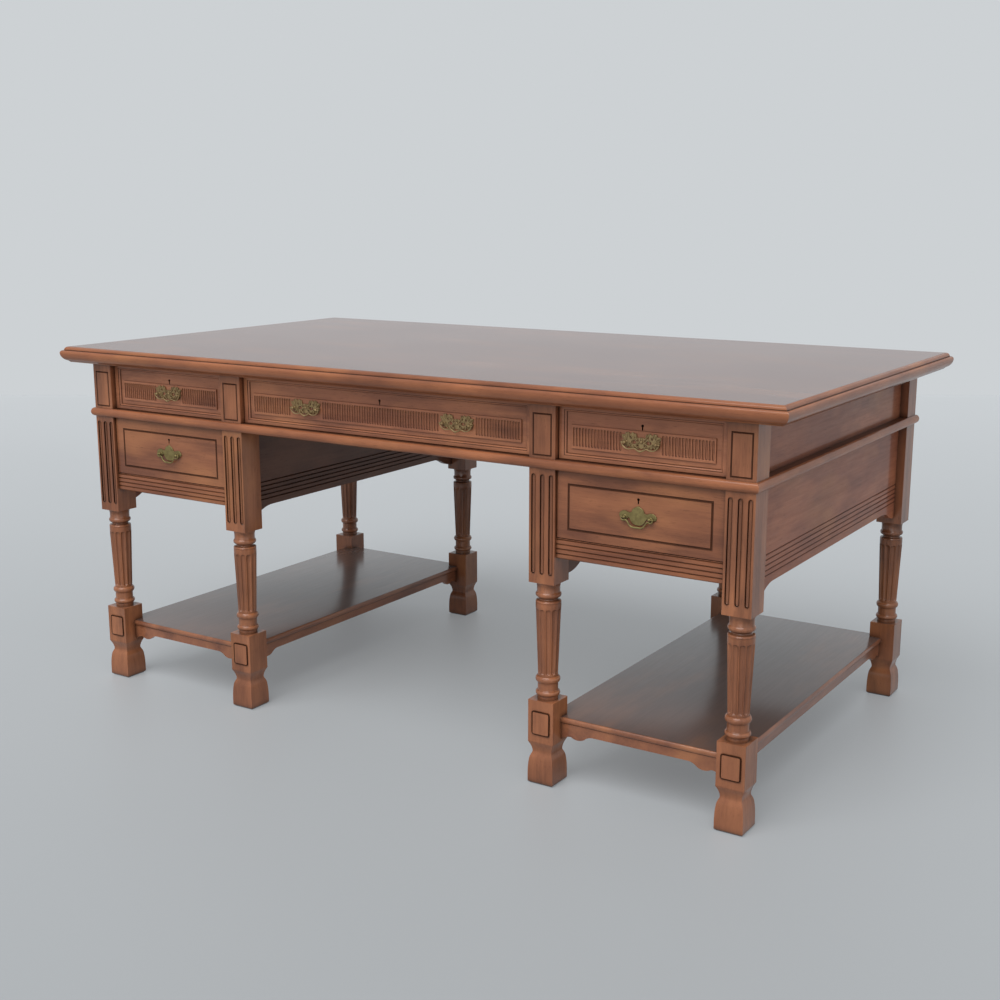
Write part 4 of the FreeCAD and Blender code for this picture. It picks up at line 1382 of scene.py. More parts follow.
        # Back legs get the darker copy of the leg wood: painted shade.
        finish = (LEG_WOOD if carved else SHADED_BACK_LEG_WOOD).build(Grain.UPRIGHT, seed)
        groove = DARK_WAX_AND_SHADE_FINISH.build(Grain.UPRIGHT, seed)
        form.finish(f"{name}_turned", "desk", finish, Slot.HARDWOOD, [name], sharp=28, extra=(groove,))


@dataclass
class Shelf:
    """A shelf with a half-round edge and a lobed apron under each side.

    Attributes:
        thickness: Thickness of the shelf.
        nose: How far its edge stands out.
        nose_steps: Facets of the edge.
        leg: Half of the width of the legs that it runs between.
        apron: Thickness of an apron.
        setback: How far an apron stands behind the shelf's edge.
        lobes: Distance from a leg and drop of each point of an apron's outline, with its arcs.
    """

    thickness: float = 12.0
    nose: float = 5.0
    nose_steps: int = 10
    leg: float = 27.6
    apron: float = 8.0
    setback: float = 3.5
    lobes: tuple[Row, ...] = (
        (68.0, -17.5),
        (50.0, -25.5, 1.8, 7),
        (22.0, -25.0, -3.8, 7),
        (0.0, -33.5, 2.2, 7),
    )

    def outline(self, length: float) -> list[Pair]:
        """An apron's outline under the shelf's underside, from its length."""
        half = length / 2
        right = drawn([(half - reach, *rest) for reach, *rest in self.lobes])
        right.append((half, 0.0))
        return right + [(-along, drop) for along, drop in reversed(right)]

    def build(self, side: Side) -> None:
        """Builds the shelf of one pedestal."""
        name = f"shelf_{side.word}"
        low, high = node_box(name)
        x, half_x, half_y = (low.x + high.x) / 2, (high.x - low.x) / 2, high.y
        under, rise = high.z - self.thickness, self.thickness / 2
        rings = [(half_x - self.nose, half_y - self.nose, under)]
        for i in range(1, self.nose_steps):
            angle = -math.pi / 2 + math.pi * i / self.nose_steps
            inset = self.nose * (1 - math.cos(angle))
            rings.append((half_x - inset, half_y - inset, under + rise + rise * math.sin(angle)))
        rings.append((half_x - self.nose, half_y - self.nose, high.z))
        form = Form()
        form.rings_up(rings, x, 0.0)
        face_x, face_y = half_x - self.setback, half_y - self.setback
        for sign in (-1, 1):
            outline = self.outline(2 * (half_x - self.leg))
            points = [(x + along, sign * face_y, under + drop) for along, drop in outline]
            form.prism(points, (0, -sign * self.apron, 0))
            outline = self.outline(2 * (half_y - self.leg))
            points = [(x + sign * face_x, along, under + drop) for along, drop in outline]
            form.prism(points, (-sign * self.apron, 0, 0))
        finish = SHELF_WOOD.build(Grain.DEEP, 5 + side.value)
        form.finish(f"{name}_nosed", "desk", finish, Slot.HARDWOOD, [name], bevel=0.5)


@dataclass
class FriezeFront:
    """A frieze drawer front: moulded frame, sunk field and a raised panel with reeding.

    Attributes:
        groups: Middle and count of each group of flutes.
        stile: Width of the frame at the sides.
        foot: Width of its foot.
        head: Width of its head.
        moulding: Distance from the field and depth of each line of the frame's moulding.
        dark_rings: Numbers of the rectangles that its dark lines lead up to, painted shade at the
            frame's steps.
        field: Width of the sunk field beside the panel and under it.
        panel: Height of the panel.
        rise: Inset and depth of each line of the panel's edge, from the field to its face.
        pitch: Distance between flutes.
        flute: Half of the width of a flute.
        flute_ends: Foot and head of a flute over the panel's foot.
        flute_steps: Edges in each round end of a flute.
        flute_cuts: Inset and depth of each step of a flute.
        eye: How far the keyhole's eye lies under the head of the front.
    """

    groups: tuple[tuple[float, int], ...]
    stile: float = 15.0
    foot: float = 11.5
    head: float = 13.0
    moulding: tuple[Pair, ...] = (
        (4.5, 0.0),
        (4.5, 0.9),
        (3.4, 1.1),
        (2.2, 1.7),
        (0.9, 3.1),
        (0.0, 5.0),
    )
    dark_rings: tuple[int, ...] = (4, 5, 8)
    field: Pair = (9.5, 9.0)
    panel: float = 43.5
    rise: tuple[Pair, ...] = ((0.0, 2.6), (0.35, 2.1), (0.9, 2.0))
    pitch: float = 6.3
    flute: float = 1.7
    flute_ends: Pair = (5.0, 38.8)
    flute_steps: int = 5
    flute_cuts: tuple[Pair, ...] = ((0.4, 0.7), (0.5, 0.5), (0.5, 0.1))
    eye: float = 27.0

    def reeding(self, form: Form, middle: float, foot: float, face: float) -> Edges:
        """Sinks the flutes of the panel.

        Args:
            form: The front's shape.
            middle: Middle of the drawer.
            foot: Height of the panel's foot.
            face: Where the panel's face lies.

        Returns:
            The edges of their mouths.
        """
        low, high = (foot + end for end in self.flute_ends)
        mouths: Edges = []
        for centre, count in self.groups:
            for index in range(count):
                x = middle + centre + self.pitch * (index - (count - 1) / 2)
                outline = stadium(x, low, high, self.flute, self.flute_steps)
                mouths += form.recess(outline, face, self.flute_cuts)
        return mouths

    def build(self, body: str, seed: int) -> None:
        """Builds the front of one drawer.

        Args:
            body: The drawer's body, whose name its front has too.
            seed: Number of the board's figure.
        """
        node = f"{body}_front"
        low, high = node_box(node)
        face, middle = low.y, (low.x + high.x) / 2

        def ring(side: float, foot: float, head: float, depth: float) -> Row:
            """A rectangle inside the board's outline, at a depth behind its face."""
            return (low.x + side, high.x - side, low.z + foot, high.z - head, face + depth)

        rings = [ring(0, 0, 0, high.y - face), ring(0, 0, 0, EASE), ring(EASE, EASE, EASE, 0.0)]
        for out, depth in self.moulding:
            rings.append(ring(self.stile - out, self.foot - out, self.head - out, depth))
        form = Form()
        edges = form.rings_in(rings, dark=self.dark_rings)
        sunk = self.moulding[-1][1]
        side, foot = self.stile + self.field[0], self.foot + self.field[1]
        head = high.z - low.z - foot - self.panel
        rim = form.onto(edges, ring(side, foot, head, sunk))
        top = max(self.between(edges, rim), key=lambda strip: strip.calc_center_median().z)
        for inset, depth in self.rise:
            rim = form.onto(rim, ring(side + inset, foot + inset, head + inset, depth))
        mouths = self.reeding(form, middle, low.z + foot, face + self.rise[-1][1])
        form.fill(rim + mouths, (0, -1, 0))
        border = list(top.edges)
        bmesh.ops.delete(form.bm, geom=[top], context="FACES_ONLY")
        hole = form.bore(keyhole(middle, high.z - self.eye), face + sunk, BORE)
        form.fill(border + hole, (0, -1, 0))
        # The front gets the lighter front wood, painted light; its frame's dark lines and its keyhole
        # get the dark finish, painted shade.
        finish = LIT_FRONT_WOOD.build(Grain.ACROSS, seed)
        groove = DARK_WAX_AND_SHADE_FINISH.build(Grain.ACROSS, seed)
        form.finish(f"{node}_reeded", body, finish, Slot.HARDWOOD, [node], sharp=28, extra=(groove,))

    @staticmethod
    def between(outer: Edges, inner: Edges) -> list[bmesh.types.BMFace]:
        """The faces that join two loops."""
        inside = set(inner)
        found = [face for edge in outer for face in edge.link_faces]
        return [face for face in found if inside & set(face.edges)]


@dataclass
class LowerFront:
    """A lower drawer front with an incised rectangle.

    Attributes:
        side: Width left at each side of the rectangle.
        head: Width left over it.
        foot: Width left under it.
        line: Width of the incised line.
        floor: Width of the line's flat floor.
        depth: Depth of the line.
        dark_rings: Numbers of the rectangles that the dark line leads up to, old wax with painted
            shade.
        eye: How far the keyhole's eye lies under the head of the front.
    """

    side: float = 22.0
    head: float = 22.0
    foot: float = 16.0
    line: float = 4.6
    floor: float = 1.0
    depth: float = 2.2
    dark_rings: tuple[int, ...] = (4, 5, 6)
    eye: float = 36.0

    def build(self, body: str, seed: int) -> None:
        """Builds the front of one drawer.

        Args:
            body: The drawer's body, whose name its front has too.
            seed: Number of the board's figure.
        """
        node = f"{body}_front"
        low, high = node_box(node)
        face = low.y

        def ring(side: float, foot: float, head: float, depth: float) -> Row:
            """A rectangle inside the board's outline, at a depth behind its face."""
            return (low.x + side, high.x - side, low.z + foot, high.z - head, face + depth)

        rings = [ring(0, 0, 0, high.y - face), ring(0, 0, 0, EASE), ring(EASE, EASE, EASE, 0.0)]
        wall = (self.line - self.floor) / 2
        groove = ((0.0, 0.0), (wall, self.depth), (wall + self.floor, self.depth), (self.line, 0.0))
        for inset, depth in groove:
            rings.append(ring(self.side + inset, self.foot + inset, self.head + inset, depth))
        form = Form()
        edges = form.rings_in(rings, dark=self.dark_rings)
        hole = form.bore(keyhole((low.x + high.x) / 2, high.z - self.eye), face, BORE)
        form.fill(edges + hole, (0, -1, 0))
        # The incised line gets the dark finish as old wax with painted shade, and the keyhole as
        # painted shade.
        finish = HARDWOOD.build(Grain.ACROSS, seed)
        dark_wax_and_shade = DARK_WAX_AND_SHADE_FINISH.build(Grain.ACROSS, seed)
        form.finish(f"{node}_incised", body, finish, Slot.HARDWOOD, [node], sharp=25, extra=(dark_wax_and_shade,))


@dataclass
class Lock:
    """The lock let into the back of a drawer front, behind its keyhole.

    Attributes:
        half_width: Half of the width of its case.
        height: Height of its case.
        depth: Depth of its case behind the front.
        let_in: How far its case reaches into the front.
        drop: How far its case reaches under the keyhole's eye.
        clear: Least height between its case and the head of the front.
        screw: Radii of a screw's head.
        screw_inset: Distance of a screw from the case's side and from its foot or head.
    """

    half_width: float = 24.0
    height: float = 38.0
    depth: float = 9.0
    let_in: float = 1.0
    drop: float = 14.0
    clear: float = 3.0
    screw: Triple = (2.2, 0.9, 2.2)
    screw_inset: Pair = (5.0, 6.0)

    def build(self, body: str, eye: float) -> None:
        """Builds the lock of one drawer.

        Args:
            body: The drawer's body.
            eye: How far the keyhole's eye lies under the head of the front.
        """
        low, high = node_box(f"{body}_front")
        middle, back = (low.x + high.x) / 2, high.y
        foot = high.z - eye - self.drop
        head = min(foot + self.height, high.z - self.clear)
        case = (middle - self.half_width, middle + self.half_width, foot, head)
        form = Form()
        form.cap(form.rings_in([(*case, back + self.depth), (*case, back - self.let_in)]), (0, -1, 0))
        for sign in (-1, 1):
            x = middle + sign * (self.half_width - self.screw_inset[0])
            for z in (foot + self.screw_inset[1], head - self.screw_inset[1]):
                form.dome((x, back + self.depth, z), self.screw)
        form.finish(f"{body}_lock", body, LOCK_STEEL.build(), Slot.BRASS, bevel=0.6)


@dataclass
class Handle:
    """What the two kinds of drop handle share: lugs, nuts behind the front and the bail.

    Attributes:
        spacing: Distance between the lugs.
        finish: Its metal.
        grip: Thickness of the front behind the plate.
        lug: Radius and reach of each point of a turned lug.
        lug_steps: Facets round a lug.
        nut: Radius and reach of each point of a nut.
        nut_sides: Sides of a nut.
        bail: Half of the bail's middle line, outward from its middle, in X and Z under its axis.
        bail_steps: New points in each span of the line.
        bail_rise: How far the CAD bail reaches over its axis.
        rod: Radius of the bail at its middle.
        rod_share: Part of that radius left at its ends.
        belly: How far from the middle the bail grows thin.
        pin: Radius of the pins that turn in the lugs.
        pin_reach: How far a pin reaches past its lug's middle.
        ball: Radius of the ball at the end of a pin.
        knob: Radii of the knob at the bail's middle, if it has one.
    """

    spacing: float
    finish: Metal = BRASS
    grip: float = 20.0
    lug: tuple[Pair, ...] = (
        (0.0, 0.0),
        (3.9, 0.0),
        (3.9, 2.2),
        (2.8, 2.8),
        (2.5, 4.0),
        (2.9, 4.6),
        (3.1, 6.0),
        (2.8, 7.3),
        (2.0, 8.4),
        (1.0, 9.0),
        (0.0, 9.1),
    )
    lug_steps: int = 20
    nut: tuple[Pair, ...] = ((0.0, 0.0), (4.8, 0.0), (4.8, 1.2), (3.6, 2.4), (0.0, 2.8))
    nut_sides: int = 6
    bail: tuple[Pair, ...] = ()
    bail_steps: int = 6
    bail_rise: float = 2.0
    rod: float = 1.9
    rod_share: float = 0.78
    belly: float = 9.0
    pin: float = 1.4
    pin_reach: float = 3.0
    ball: float = 1.7
    knob: Triple | None = None

    def add_lugs(self, form: Form, x: float, y: float, z: float) -> None:
        """Adds the two turned lugs and the nuts behind the drawer front.

        Args:
            form: The plate's shape.
            x: Middle of the handle.
            y: Where the plate's back lies.
            z: Height of the lugs.
        """
        for sign in (-1, 1):
            place = x + sign * self.spacing / 2
            lug = Form()
            lug.spin(self.lug, 0.0, 0.0, self.lug_steps)
            self.join(form, lug, (place, y, z))
            nut = Form()
            nut.spin(self.nut, 0.0, 0.0, self.nut_sides)
            nut.turn(math.pi, axis="X")
            self.join(form, nut, (place, y + self.grip, z))

    @staticmethod
    def join(form: Form, part: Form, place: Triple) -> None:
        """Lays a part that was turned about Z so that it points out of the drawer, and adds it.

        Args:
            form: The shape that it is added to.
            part: The part, which is used up.
            place: Where its foot comes.
        """
        part.turn(math.pi / 2, axis="X")
        bmesh.ops.translate(part.bm, verts=part.bm.verts, vec=place)
        mesh = bpy.data.meshes.new("joined")
        part.bm.to_mesh(mesh)
        part.bm.free()
        form.bm.from_mesh(mesh)
        bpy.data.meshes.remove(mesh)

    def build_bail(self, name: str, body: str) -> None:
        """Builds the bail that hangs in the lugs.

        Args:
            name: The CAD node that it replaces.
            body: The bail's own body.
        """
        low, high = node_box(name)
        x, y, z = (low.x + high.x) / 2, (low.y + high.y) / 2, high.z - self.bail_rise
        before = (-self.bail[1][0], self.bail[1][1])
        line = smooth_line([before, *self.bail], self.bail_steps)
        right = [point for point in line if point[0] >= -STRAIGHT]
        line = [(-along, drop) for along, drop in reversed(right[1:])] + right
        path = [(x + along, y, z + drop) for along, drop in line]
        bulge = [math.exp(-((along / self.belly) ** 2)) for along, _ in line]
        radii = [self.rod * (self.rod_share + (1 - self.rod_share) * part) for part in bulge]
        form = Form()
        form.rod(path, radii)
        for sign in (-1, 1):
            inner = x + sign * (self.spacing / 2 - self.pin_reach)
            outer = x + sign * self.bail[-1][0]
            form.rod([(inner, y, z), (outer, y, z)], [self.pin, self.pin])
            form.dome((outer, y, z), (self.ball, self.ball, self.ball))
        if self.knob:
            form.dome((x, y, z + self.bail[0][1]), self.knob)
        form.finish(f"{name}_cast", body, self.finish.build(), Slot.BRASS, [name])


@dataclass
class BatWingHandle(Handle):
    """The handle of a lower drawer: a flat bat-wing plate and a swan-neck bail.

    Attributes:
        outline: Half of the plate's outline from its crest to its keel, in X and Z.
        outline_steps: New points in each span of the outline.
        rim: Height of the plate's square rim.
        thickness: Thickness of the plate.
        chamfer: Size of its face along X and Z, as a share of its back.
    """

    outline: tuple[Pair, ...] = (
        (0.0, 20.5),
        (2.2, 20.2),
        (4.2, 18.6),
        (8.2, 16.6),
        (11.4, 13.2),
        (12.6, 9.6),
        (15.4, 8.0),
        (19.5, 8.6),
        (24.5, 10.4),
        (30.0, 10.0),
        (34.6, 7.2),
        (37.0, 2.8),
        (35.6, -1.4),
        (31.8, -2.6),
        (29.0, -4.2),
        (25.0, -5.2),
        (21.2, -3.6),
        (18.6, -0.2),
        (15.6, -3.6),
        (12.8, -8.4),
        (8.8, -12.0),
        (4.2, -13.6),
        (0.0, -14.0),
    )
    outline_steps: int = 3
    rim: float = 1.1
    thickness: float = 1.6
    chamfer: Pair = (0.982, 0.965)
    bail: tuple[Pair, ...] = (
        (0.0, -17.0),
        (7.5, -17.0),
        (13.0, -14.8),
        (16.6, -10.4),
        (19.2, -6.4),
        (23.0, -5.0),
        (27.4, -6.0),
        (30.4, -3.8),
        (31.1, 0.0),
    )

    def build(self, name: str, body: str) -> None:
        """Builds the plate and the bail of one handle.

        Args:
            name: Start of the handle's node names.
            body: The drawer's body.
        """
        plate = f"{name}_handle_plate"
        low, high = node_box(plate)
        x, back = (low.x + high.x) / 2, high.y
        z = high.z - self.outline[0][1]
        outline = mirrored(smooth_line(self.outline, self.outline_steps))
        form = Form()
        edges = form.loop([(x + along, back, z + up) for along, up in outline])
        form.cap(edges, (0, 1, 0))
        edges = form.step(edges, lambda co: co + Vector((0, -self.rim, 0)))

        def eased(co: Vector) -> Vector:
            """Draws a point of the rim in for the chamfer."""
            wide, tall = self.chamfer
            return Vector((x + (co.x - x) * wide, back - self.thickness, z + (co.z - z) * tall))

        form.cap(form.step(edges, eased), (0, -1, 0))
        self.add_lugs(form, x, back, z)
        form.finish(f"{plate}_cast", body, self.finish.build(), Slot.BRASS, [plate])
        self.build_bail(f"{name}_bail", f"{name}_bail")


@dataclass
class ScrollHandle(Handle):
    """The handle of a frieze drawer: a pierced leafy plate with scrolls, and a light bail.

    Attributes:
        outline: Half of the plate's outline from its crest to its keel, in X and Z.
        outline_steps: New points in each span of the outline.
        lug_height: Height of the lugs over the plate's lowest point.
        web: Thickness of the sheet that the ornament stands on.
        piercings: Middle along X and Z and radii of each opening of the right half.
        piercing_sides: Edges round an opening.
        leaves: Start, end and width of each leaf of the right half, in X and Z.
        leaf_height: Half of the height of a leaf's blade.
        leaf_lift: How far the leaves' middles stand in front of the plate's back.
        rib_radii: Radius of a leaf's rib at its root, and how much it loses.
        rib_lift: How far the rib's ends stand over the leaf's middle, and its crown over them.
        rib_bend: Bend of the rib, as a share of the leaf's width.
        rib_steps: Spans of the rib.
        scrolls: Eye in X and Z, outer radius, first angle and sweep of each scroll.
        scroll_lift: How far the scrolls stand in front of the plate's back.
        scroll_loss: Share of its outer radius that a scroll loses as it winds in.
        scroll_radii: Radius of a scroll's bar at its outer end, and how much it swells.
        scroll_swell: How early the bar swells, 1 for its middle.
        scroll_steps: Spans of a scroll.
        bead: Radius of the bead in a scroll's eye.
        boss: Radii of the boss in the middle of the plate.
        boss_height: Height of the boss over the lugs.
    """

    outline: tuple[Pair, ...] = (
        (0.0, 8.0),
        (3.2, 9.6),
        (6.4, 8.2),
        (9.6, 12.0),
        (13.6, 16.4),
        (17.6, 17.4),
        (21.0, 14.8),
        (24.6, 17.6),
        (28.8, 16.4),
        (31.6, 12.8),
        (36.4, 13.0),
        (38.0, 9.0),
        (34.6, 5.4),
        (36.8, 1.2),
        (34.4, -3.0),
        (31.0, -5.4),
        (27.6, -8.8),
        (23.2, -6.8),
        (18.6, -9.6),
        (13.6, -7.4),
        (8.6, -10.6),
        (4.2, -8.4),
        (0.0, -10.6),
    )
    piercings: tuple[tuple[float, float, float, float], ...] = (
        (15.0, 1.2, 5.2, 3.8),
        (8.2, -4.8, 2.6, 2.0),
        (6.8, 4.6, 1.9, 1.8),
        (22.4, -3.2, 1.9, 1.6),
        (20.6, 8.8, 2.5, 3.2),
        (13.2, 10.2, 1.6, 2.4),
        (34.0, 9.2, 1.6, 1.7),
    )
    leaves: tuple[tuple[Pair, Pair, float], ...] = (
        ((7.4, 5.2), (17.4, 18.8), 2.4),
        ((9.6, 9.4), (11.0, 16.8), 1.9),
        ((22.8, 10.4), (25.2, 18.8), 2.2),
        ((26.8, 8.0), (30.6, 17.4), 2.1),
        ((28.4, 5.2), (38.2, 13.2), 2.3),
        ((30.6, 2.4), (38.4, 2.8), 2.0),
        ((28.8, -3.0), (35.2, -6.0), 2.0),
        ((25.8, -4.4), (28.8, -9.8), 1.9),
        ((22.6, -5.0), (19.4, -10.4), 1.9),
        ((17.4, -4.6), (12.4, -9.8), 2.0),
        ((11.6, -5.4), (4.0, -10.4), 1.9),
        ((3.6, 1.4), (11.4, -2.2), 1.7),
        ((1.8, 3.8), (0.8, 10.2), 1.9),
    )
    scrolls: tuple[tuple[float, float, float, float, float], ...] = (
        (15.0, 1.2, 6.2, 3.0, -3.2),
        (20.8, 8.8, 4.0, 0.4, 4.2),
        (8.2, -4.8, 3.7, 2.2, 4.2),
        (34.0, 9.2, 3.0, -2.2, 4.2),
        (22.4, -3.4, 3.0, 1.0, 4.2),
    )
    outline_steps: int = 3
    lug_height: float = 17.0
    web: float = 0.9
    piercing_sides: int = 12
    leaf_height: float = 1.1
    leaf_lift: float = 1.2
    rib_radii: Pair = (0.75, 0.45)
    rib_lift: Pair = (0.7, 0.5)
    rib_bend: float = 0.3
    rib_steps: int = 5
    scroll_lift: float = 1.5
    scroll_loss: float = 0.72
    scroll_radii: Pair = (0.55, 0.4)
    scroll_swell: float = 1.25
    scroll_steps: int = 16
    bead: float = 1.1
    boss: Triple = (3.2, 2.4, 3.2)
    boss_height: float = 1.6
    bail: tuple[Pair, ...] = (
        (0.0, -14.0),
        (6.0, -12.0),
        (12.0, -9.2),
        (19.0, -11.0),
        (27.0, -10.6),
        (33.6, -6.0),
        (36.6, 0.0),
    )
    knob: Triple | None = (2.64, 2.0, 2.2)

    def add_web(self, form: Form, x: float, y: float, z: float) -> None:
        """Adds the thin pierced sheet that the ornament stands on.

        Args:
            form: The plate's shape.
            x: Middle of the handle.
            y: Where the plate's back lies.
            z: Height of the lugs.
        """
        loops = [mirrored(smooth_line(self.outline, self.outline_steps))]
        turns = [2 * math.pi * i / self.piercing_sides for i in range(self.piercing_sides)]
        for sign in (-1, 1):
            for along, up, wide, high in self.piercings:
                middle = sign * along
                loops.append([(middle + wide * math.cos(t), up + high * math.sin(t)) for t in turns])
        back: Edges = []
        front: Edges = []
        for loop in loops:
            edges = form.loop([(x + along, y, z + up) for along, up in loop])
            back += edges
            front += form.step(edges, lambda co: co + Vector((0, -self.web, 0)))
        form.fill(back, (0, 1, 0))
        form.fill(front, (0, -1, 0))

    def add_leaf(self, form: Form, start: Triple, end: Triple, width: float) -> None:
        """Adds one leaf with a raised rib.

        Args:
            form: The plate's shape.
            start: Its root.
            end: Its tip.
            width: Its width.
        """
        along = Vector(end) - Vector(start)
        middle = (Vector(start) + Vector(end)) / 2
        pitch = math.atan2(along.z, along.x)
        form.dome(tuple(middle), (along.length / 2, self.leaf_height, width / 2), -pitch, 10)
        side = Vector((-along.z, 0.0, along.x)).normalized()
        path, radii = [], []
        for i in range(self.rib_steps + 1):
            share = i / self.rib_steps
            arch = math.sin(share * math.pi)
            lift = Vector((0.0, -self.rib_lift[0] - self.rib_lift[1] * arch, 0.0))
            bend = side * (arch * width * self.rib_bend)
            path.append(tuple(Vector(start) + along * share + bend + lift))
            radii.append(self.rib_radii[0] - self.rib_radii[1] * share)
        form.rod(path, radii, 6)

    def add_scroll(self, form: Form, eye: Triple, size: float, start: float, sweep: float) -> None:
        """Adds a scroll that winds in to a small eye.

        Args:
            form: The plate's shape.
            eye: Its eye.
            size: Its outer radius.
            start: Angle of its outer end.
            sweep: How far it winds, in radians.
        """
        x, y, z = eye
        path, radii = [], []
        for i in range(self.scroll_steps + 1):
            share = i / self.scroll_steps
            angle = start + sweep * share
            reach = size * (1 - self.scroll_loss * share)
            path.append((x + reach * math.cos(angle), y, z + reach * math.sin(angle)))
            swell = math.sin(math.pi * min(1.0, share * self.scroll_swell))
            radii.append(self.scroll_radii[0] + self.scroll_radii[1] * swell)
        form.rod(path, radii, 7)
        form.dome(path[-1], (self.bead, self.bead, self.bead), segments=8)

    def build(self, name: str, body: str) -> None:
        """Builds the plate and the bail of one handle.

        Args:
            name: Start of the handle's node names.
            body: The drawer's body.
        """
        plate = f"{name}_handle_plate"
        low, high = node_box(plate)
        x, back = (low.x + high.x) / 2, high.y
        z = low.z + self.lug_height
        form = Form()
        self.add_web(form, x, back, z)
        leaf_y, scroll_y = back - self.leaf_lift, back - self.scroll_lift
        for sign in (-1, 1):
            for (root, foot), (tip, head), width in self.leaves:
                start, end = (x + sign * root, leaf_y, z + foot), (x + sign * tip, leaf_y, z + head)
                self.add_leaf(form, start, end, width)
            for along, up, size, start, sweep in self.scrolls:
                first = start if sign > 0 else math.pi - start
                eye = (x + sign * along, scroll_y, z + up)
                self.add_scroll(form, eye, size, first, sign * sweep)
        form.dome((x, leaf_y, z + self.boss_height), self.boss, segments=14)
        self.add_lugs(form, x, back, z)
        form.finish(f"{plate}_cast", body, self.finish.build(), Slot.BRASS, [plate], sharp=60)
        self.build_bail(f"{name}_bail", f"{name}_bail")


@dataclass
class Desk:
    """The whole desk: which piece goes where, and which CAD nodes keep their shape.

    Attributes:
        bay_groups: Middle and count of each group of flutes on an outer frieze drawer.
        middle_groups: The same on the frieze's middle drawer.
        bare: Start of the names of the plain boards inside the carcass.
        ends: Start of the names of the polished boards that run from front to back.
    """

    bay_groups: tuple[tuple[float, int], ...] = ((-89.0, 16), (89.0, 16))
    middle_groups: tuple[tuple[float, int], ...] = ((-278.5, 16), (0.0, 46), (278.5, 16))
    bare: tuple[str, ...] = ("dust_board", "frieze_partition", "pedestal_floor")
    ends: tuple[str, ...] = ("side_panel", "frieze_end", "frieze_back_post")

    def node_finish(self, name: str, index: int) -> Material:
        """Picks the finish of a CAD node.

        Args:
            name: The node's name.
            index: Its number, which moves the figure from board to board.

        Returns:
            The material.
        """
        if name.endswith("_box") or name.startswith(self.bare):
            return BARE_WOOD.build(Grain.DEEP, index % 4)
        if name.startswith("knee_panel"):
            return SHADED_WOOD.build(Grain.DEEP, index % 3)
        if name.startswith(self.ends):
            return SIDE_WOOD.build(Grain.DEEP, 11 + index % 3)
        if name.startswith(("leg", "frieze_post")):
            return HARDWOOD.build(Grain.UPRIGHT, index % 3)
        if name.endswith(("plate", "bail")):
            return BRASS.build()
        return HARDWOOD.build(Grain.ACROSS, 7 + index % 3)

    def dress_nodes(self, nodes: dict[str, bpy.types.Object]) -> None:
        """Gives every CAD node its finish, for those that keep their shape.

        Args:
            nodes: The CAD nodes by name.
        """
        for index, (name, node) in enumerate(sorted(nodes.items())):
            node.data.materials.clear()
            node.data.materials.append(self.node_finish(name, index))

    def build_frame(self) -> None:
        """Builds the top, the moulding and what stands on the floor."""
        TopBoard().build()
        LOG.info("top board")
        WaistMoulding().build()
        LOG.info("waist moulding")
        post, leg, shelf = FriezePost(), Leg(), Shelf()
        for number, side in enumerate(Side):
            for place, word in enumerate(("outer", "inner")):
                seed = number + 2 * place
                post.build(f"frieze_post_{side.word}_{word}", 2 + seed)
                leg.build(f"leg_{side.word}_{word}_front", 1 + seed)
                leg.build(f"leg_{side.word}_{word}_back", 6 + seed)
            shelf.build(side)
            LOG.info("%s legs, posts and shelf", side.word)

    def build_drawers(self) -> None:
        """Builds what the drawers show: their fronts, locks and handles."""
        bay, middle = FriezeFront(self.bay_groups), FriezeFront(self.middle_groups)
        lower, lock = LowerFront(), Lock()
        scroll = ScrollHandle(spacing=61.0, grip=18.0, rod=1.6, finish=SCROLL_BRASS)
        wing = BatWingHandle(spacing=50.0)
        for number, side in enumerate(Side):
            body = f"frieze_drawer_{side.word}"
            bay.build(body, 3 + number)
            lock.build(body, bay.eye)
            scroll.build(body, body)
            body = f"lower_drawer_{side.word}"
            lower.build(body, 8 + number)
            lock.build(body, lower.eye)
            wing.build(body, body)
            LOG.info("%s drawers", side.word)
        body = "frieze_drawer_centre"
        middle.build(body, 5)
        lock.build(body, middle.eye)
        for side in Side:
            scroll.build(f"{body}_{side.word}", body)
        LOG.info("centre drawer")


@dataclass(frozen=True)
class Sun:
    """A broad, distant lamp, so that the whole floor gets the same light.

    Attributes:
        name: The lamp's name.
        heading: Where the light comes from, in degrees from +X towards +Y.
        height: Its height over the horizon, in degrees.
        spread: Its width in degrees.
        strength: Its strength.
    """

    name: str
    heading: float
    height: float
    spread: float
    strength: float

    def build(self) -> None:
        """Adds the lamp."""
        data = bpy.data.lights.new(self.name, "SUN")
        data.angle = math.radians(self.spread)
        data.energy = self.strength
        lamp = bpy.data.objects.new(self.name, data)
        turn, rise = math.radians(self.heading), math.radians(self.height)
        flat = math.cos(rise)
        toward = Vector((flat * math.cos(turn), flat * math.sin(turn), math.sin(rise)))
        lamp.rotation_euler = toward.to_track_quat("Z", "Y").to_euler()
        bpy.context.scene.collection.objects.link(lamp)


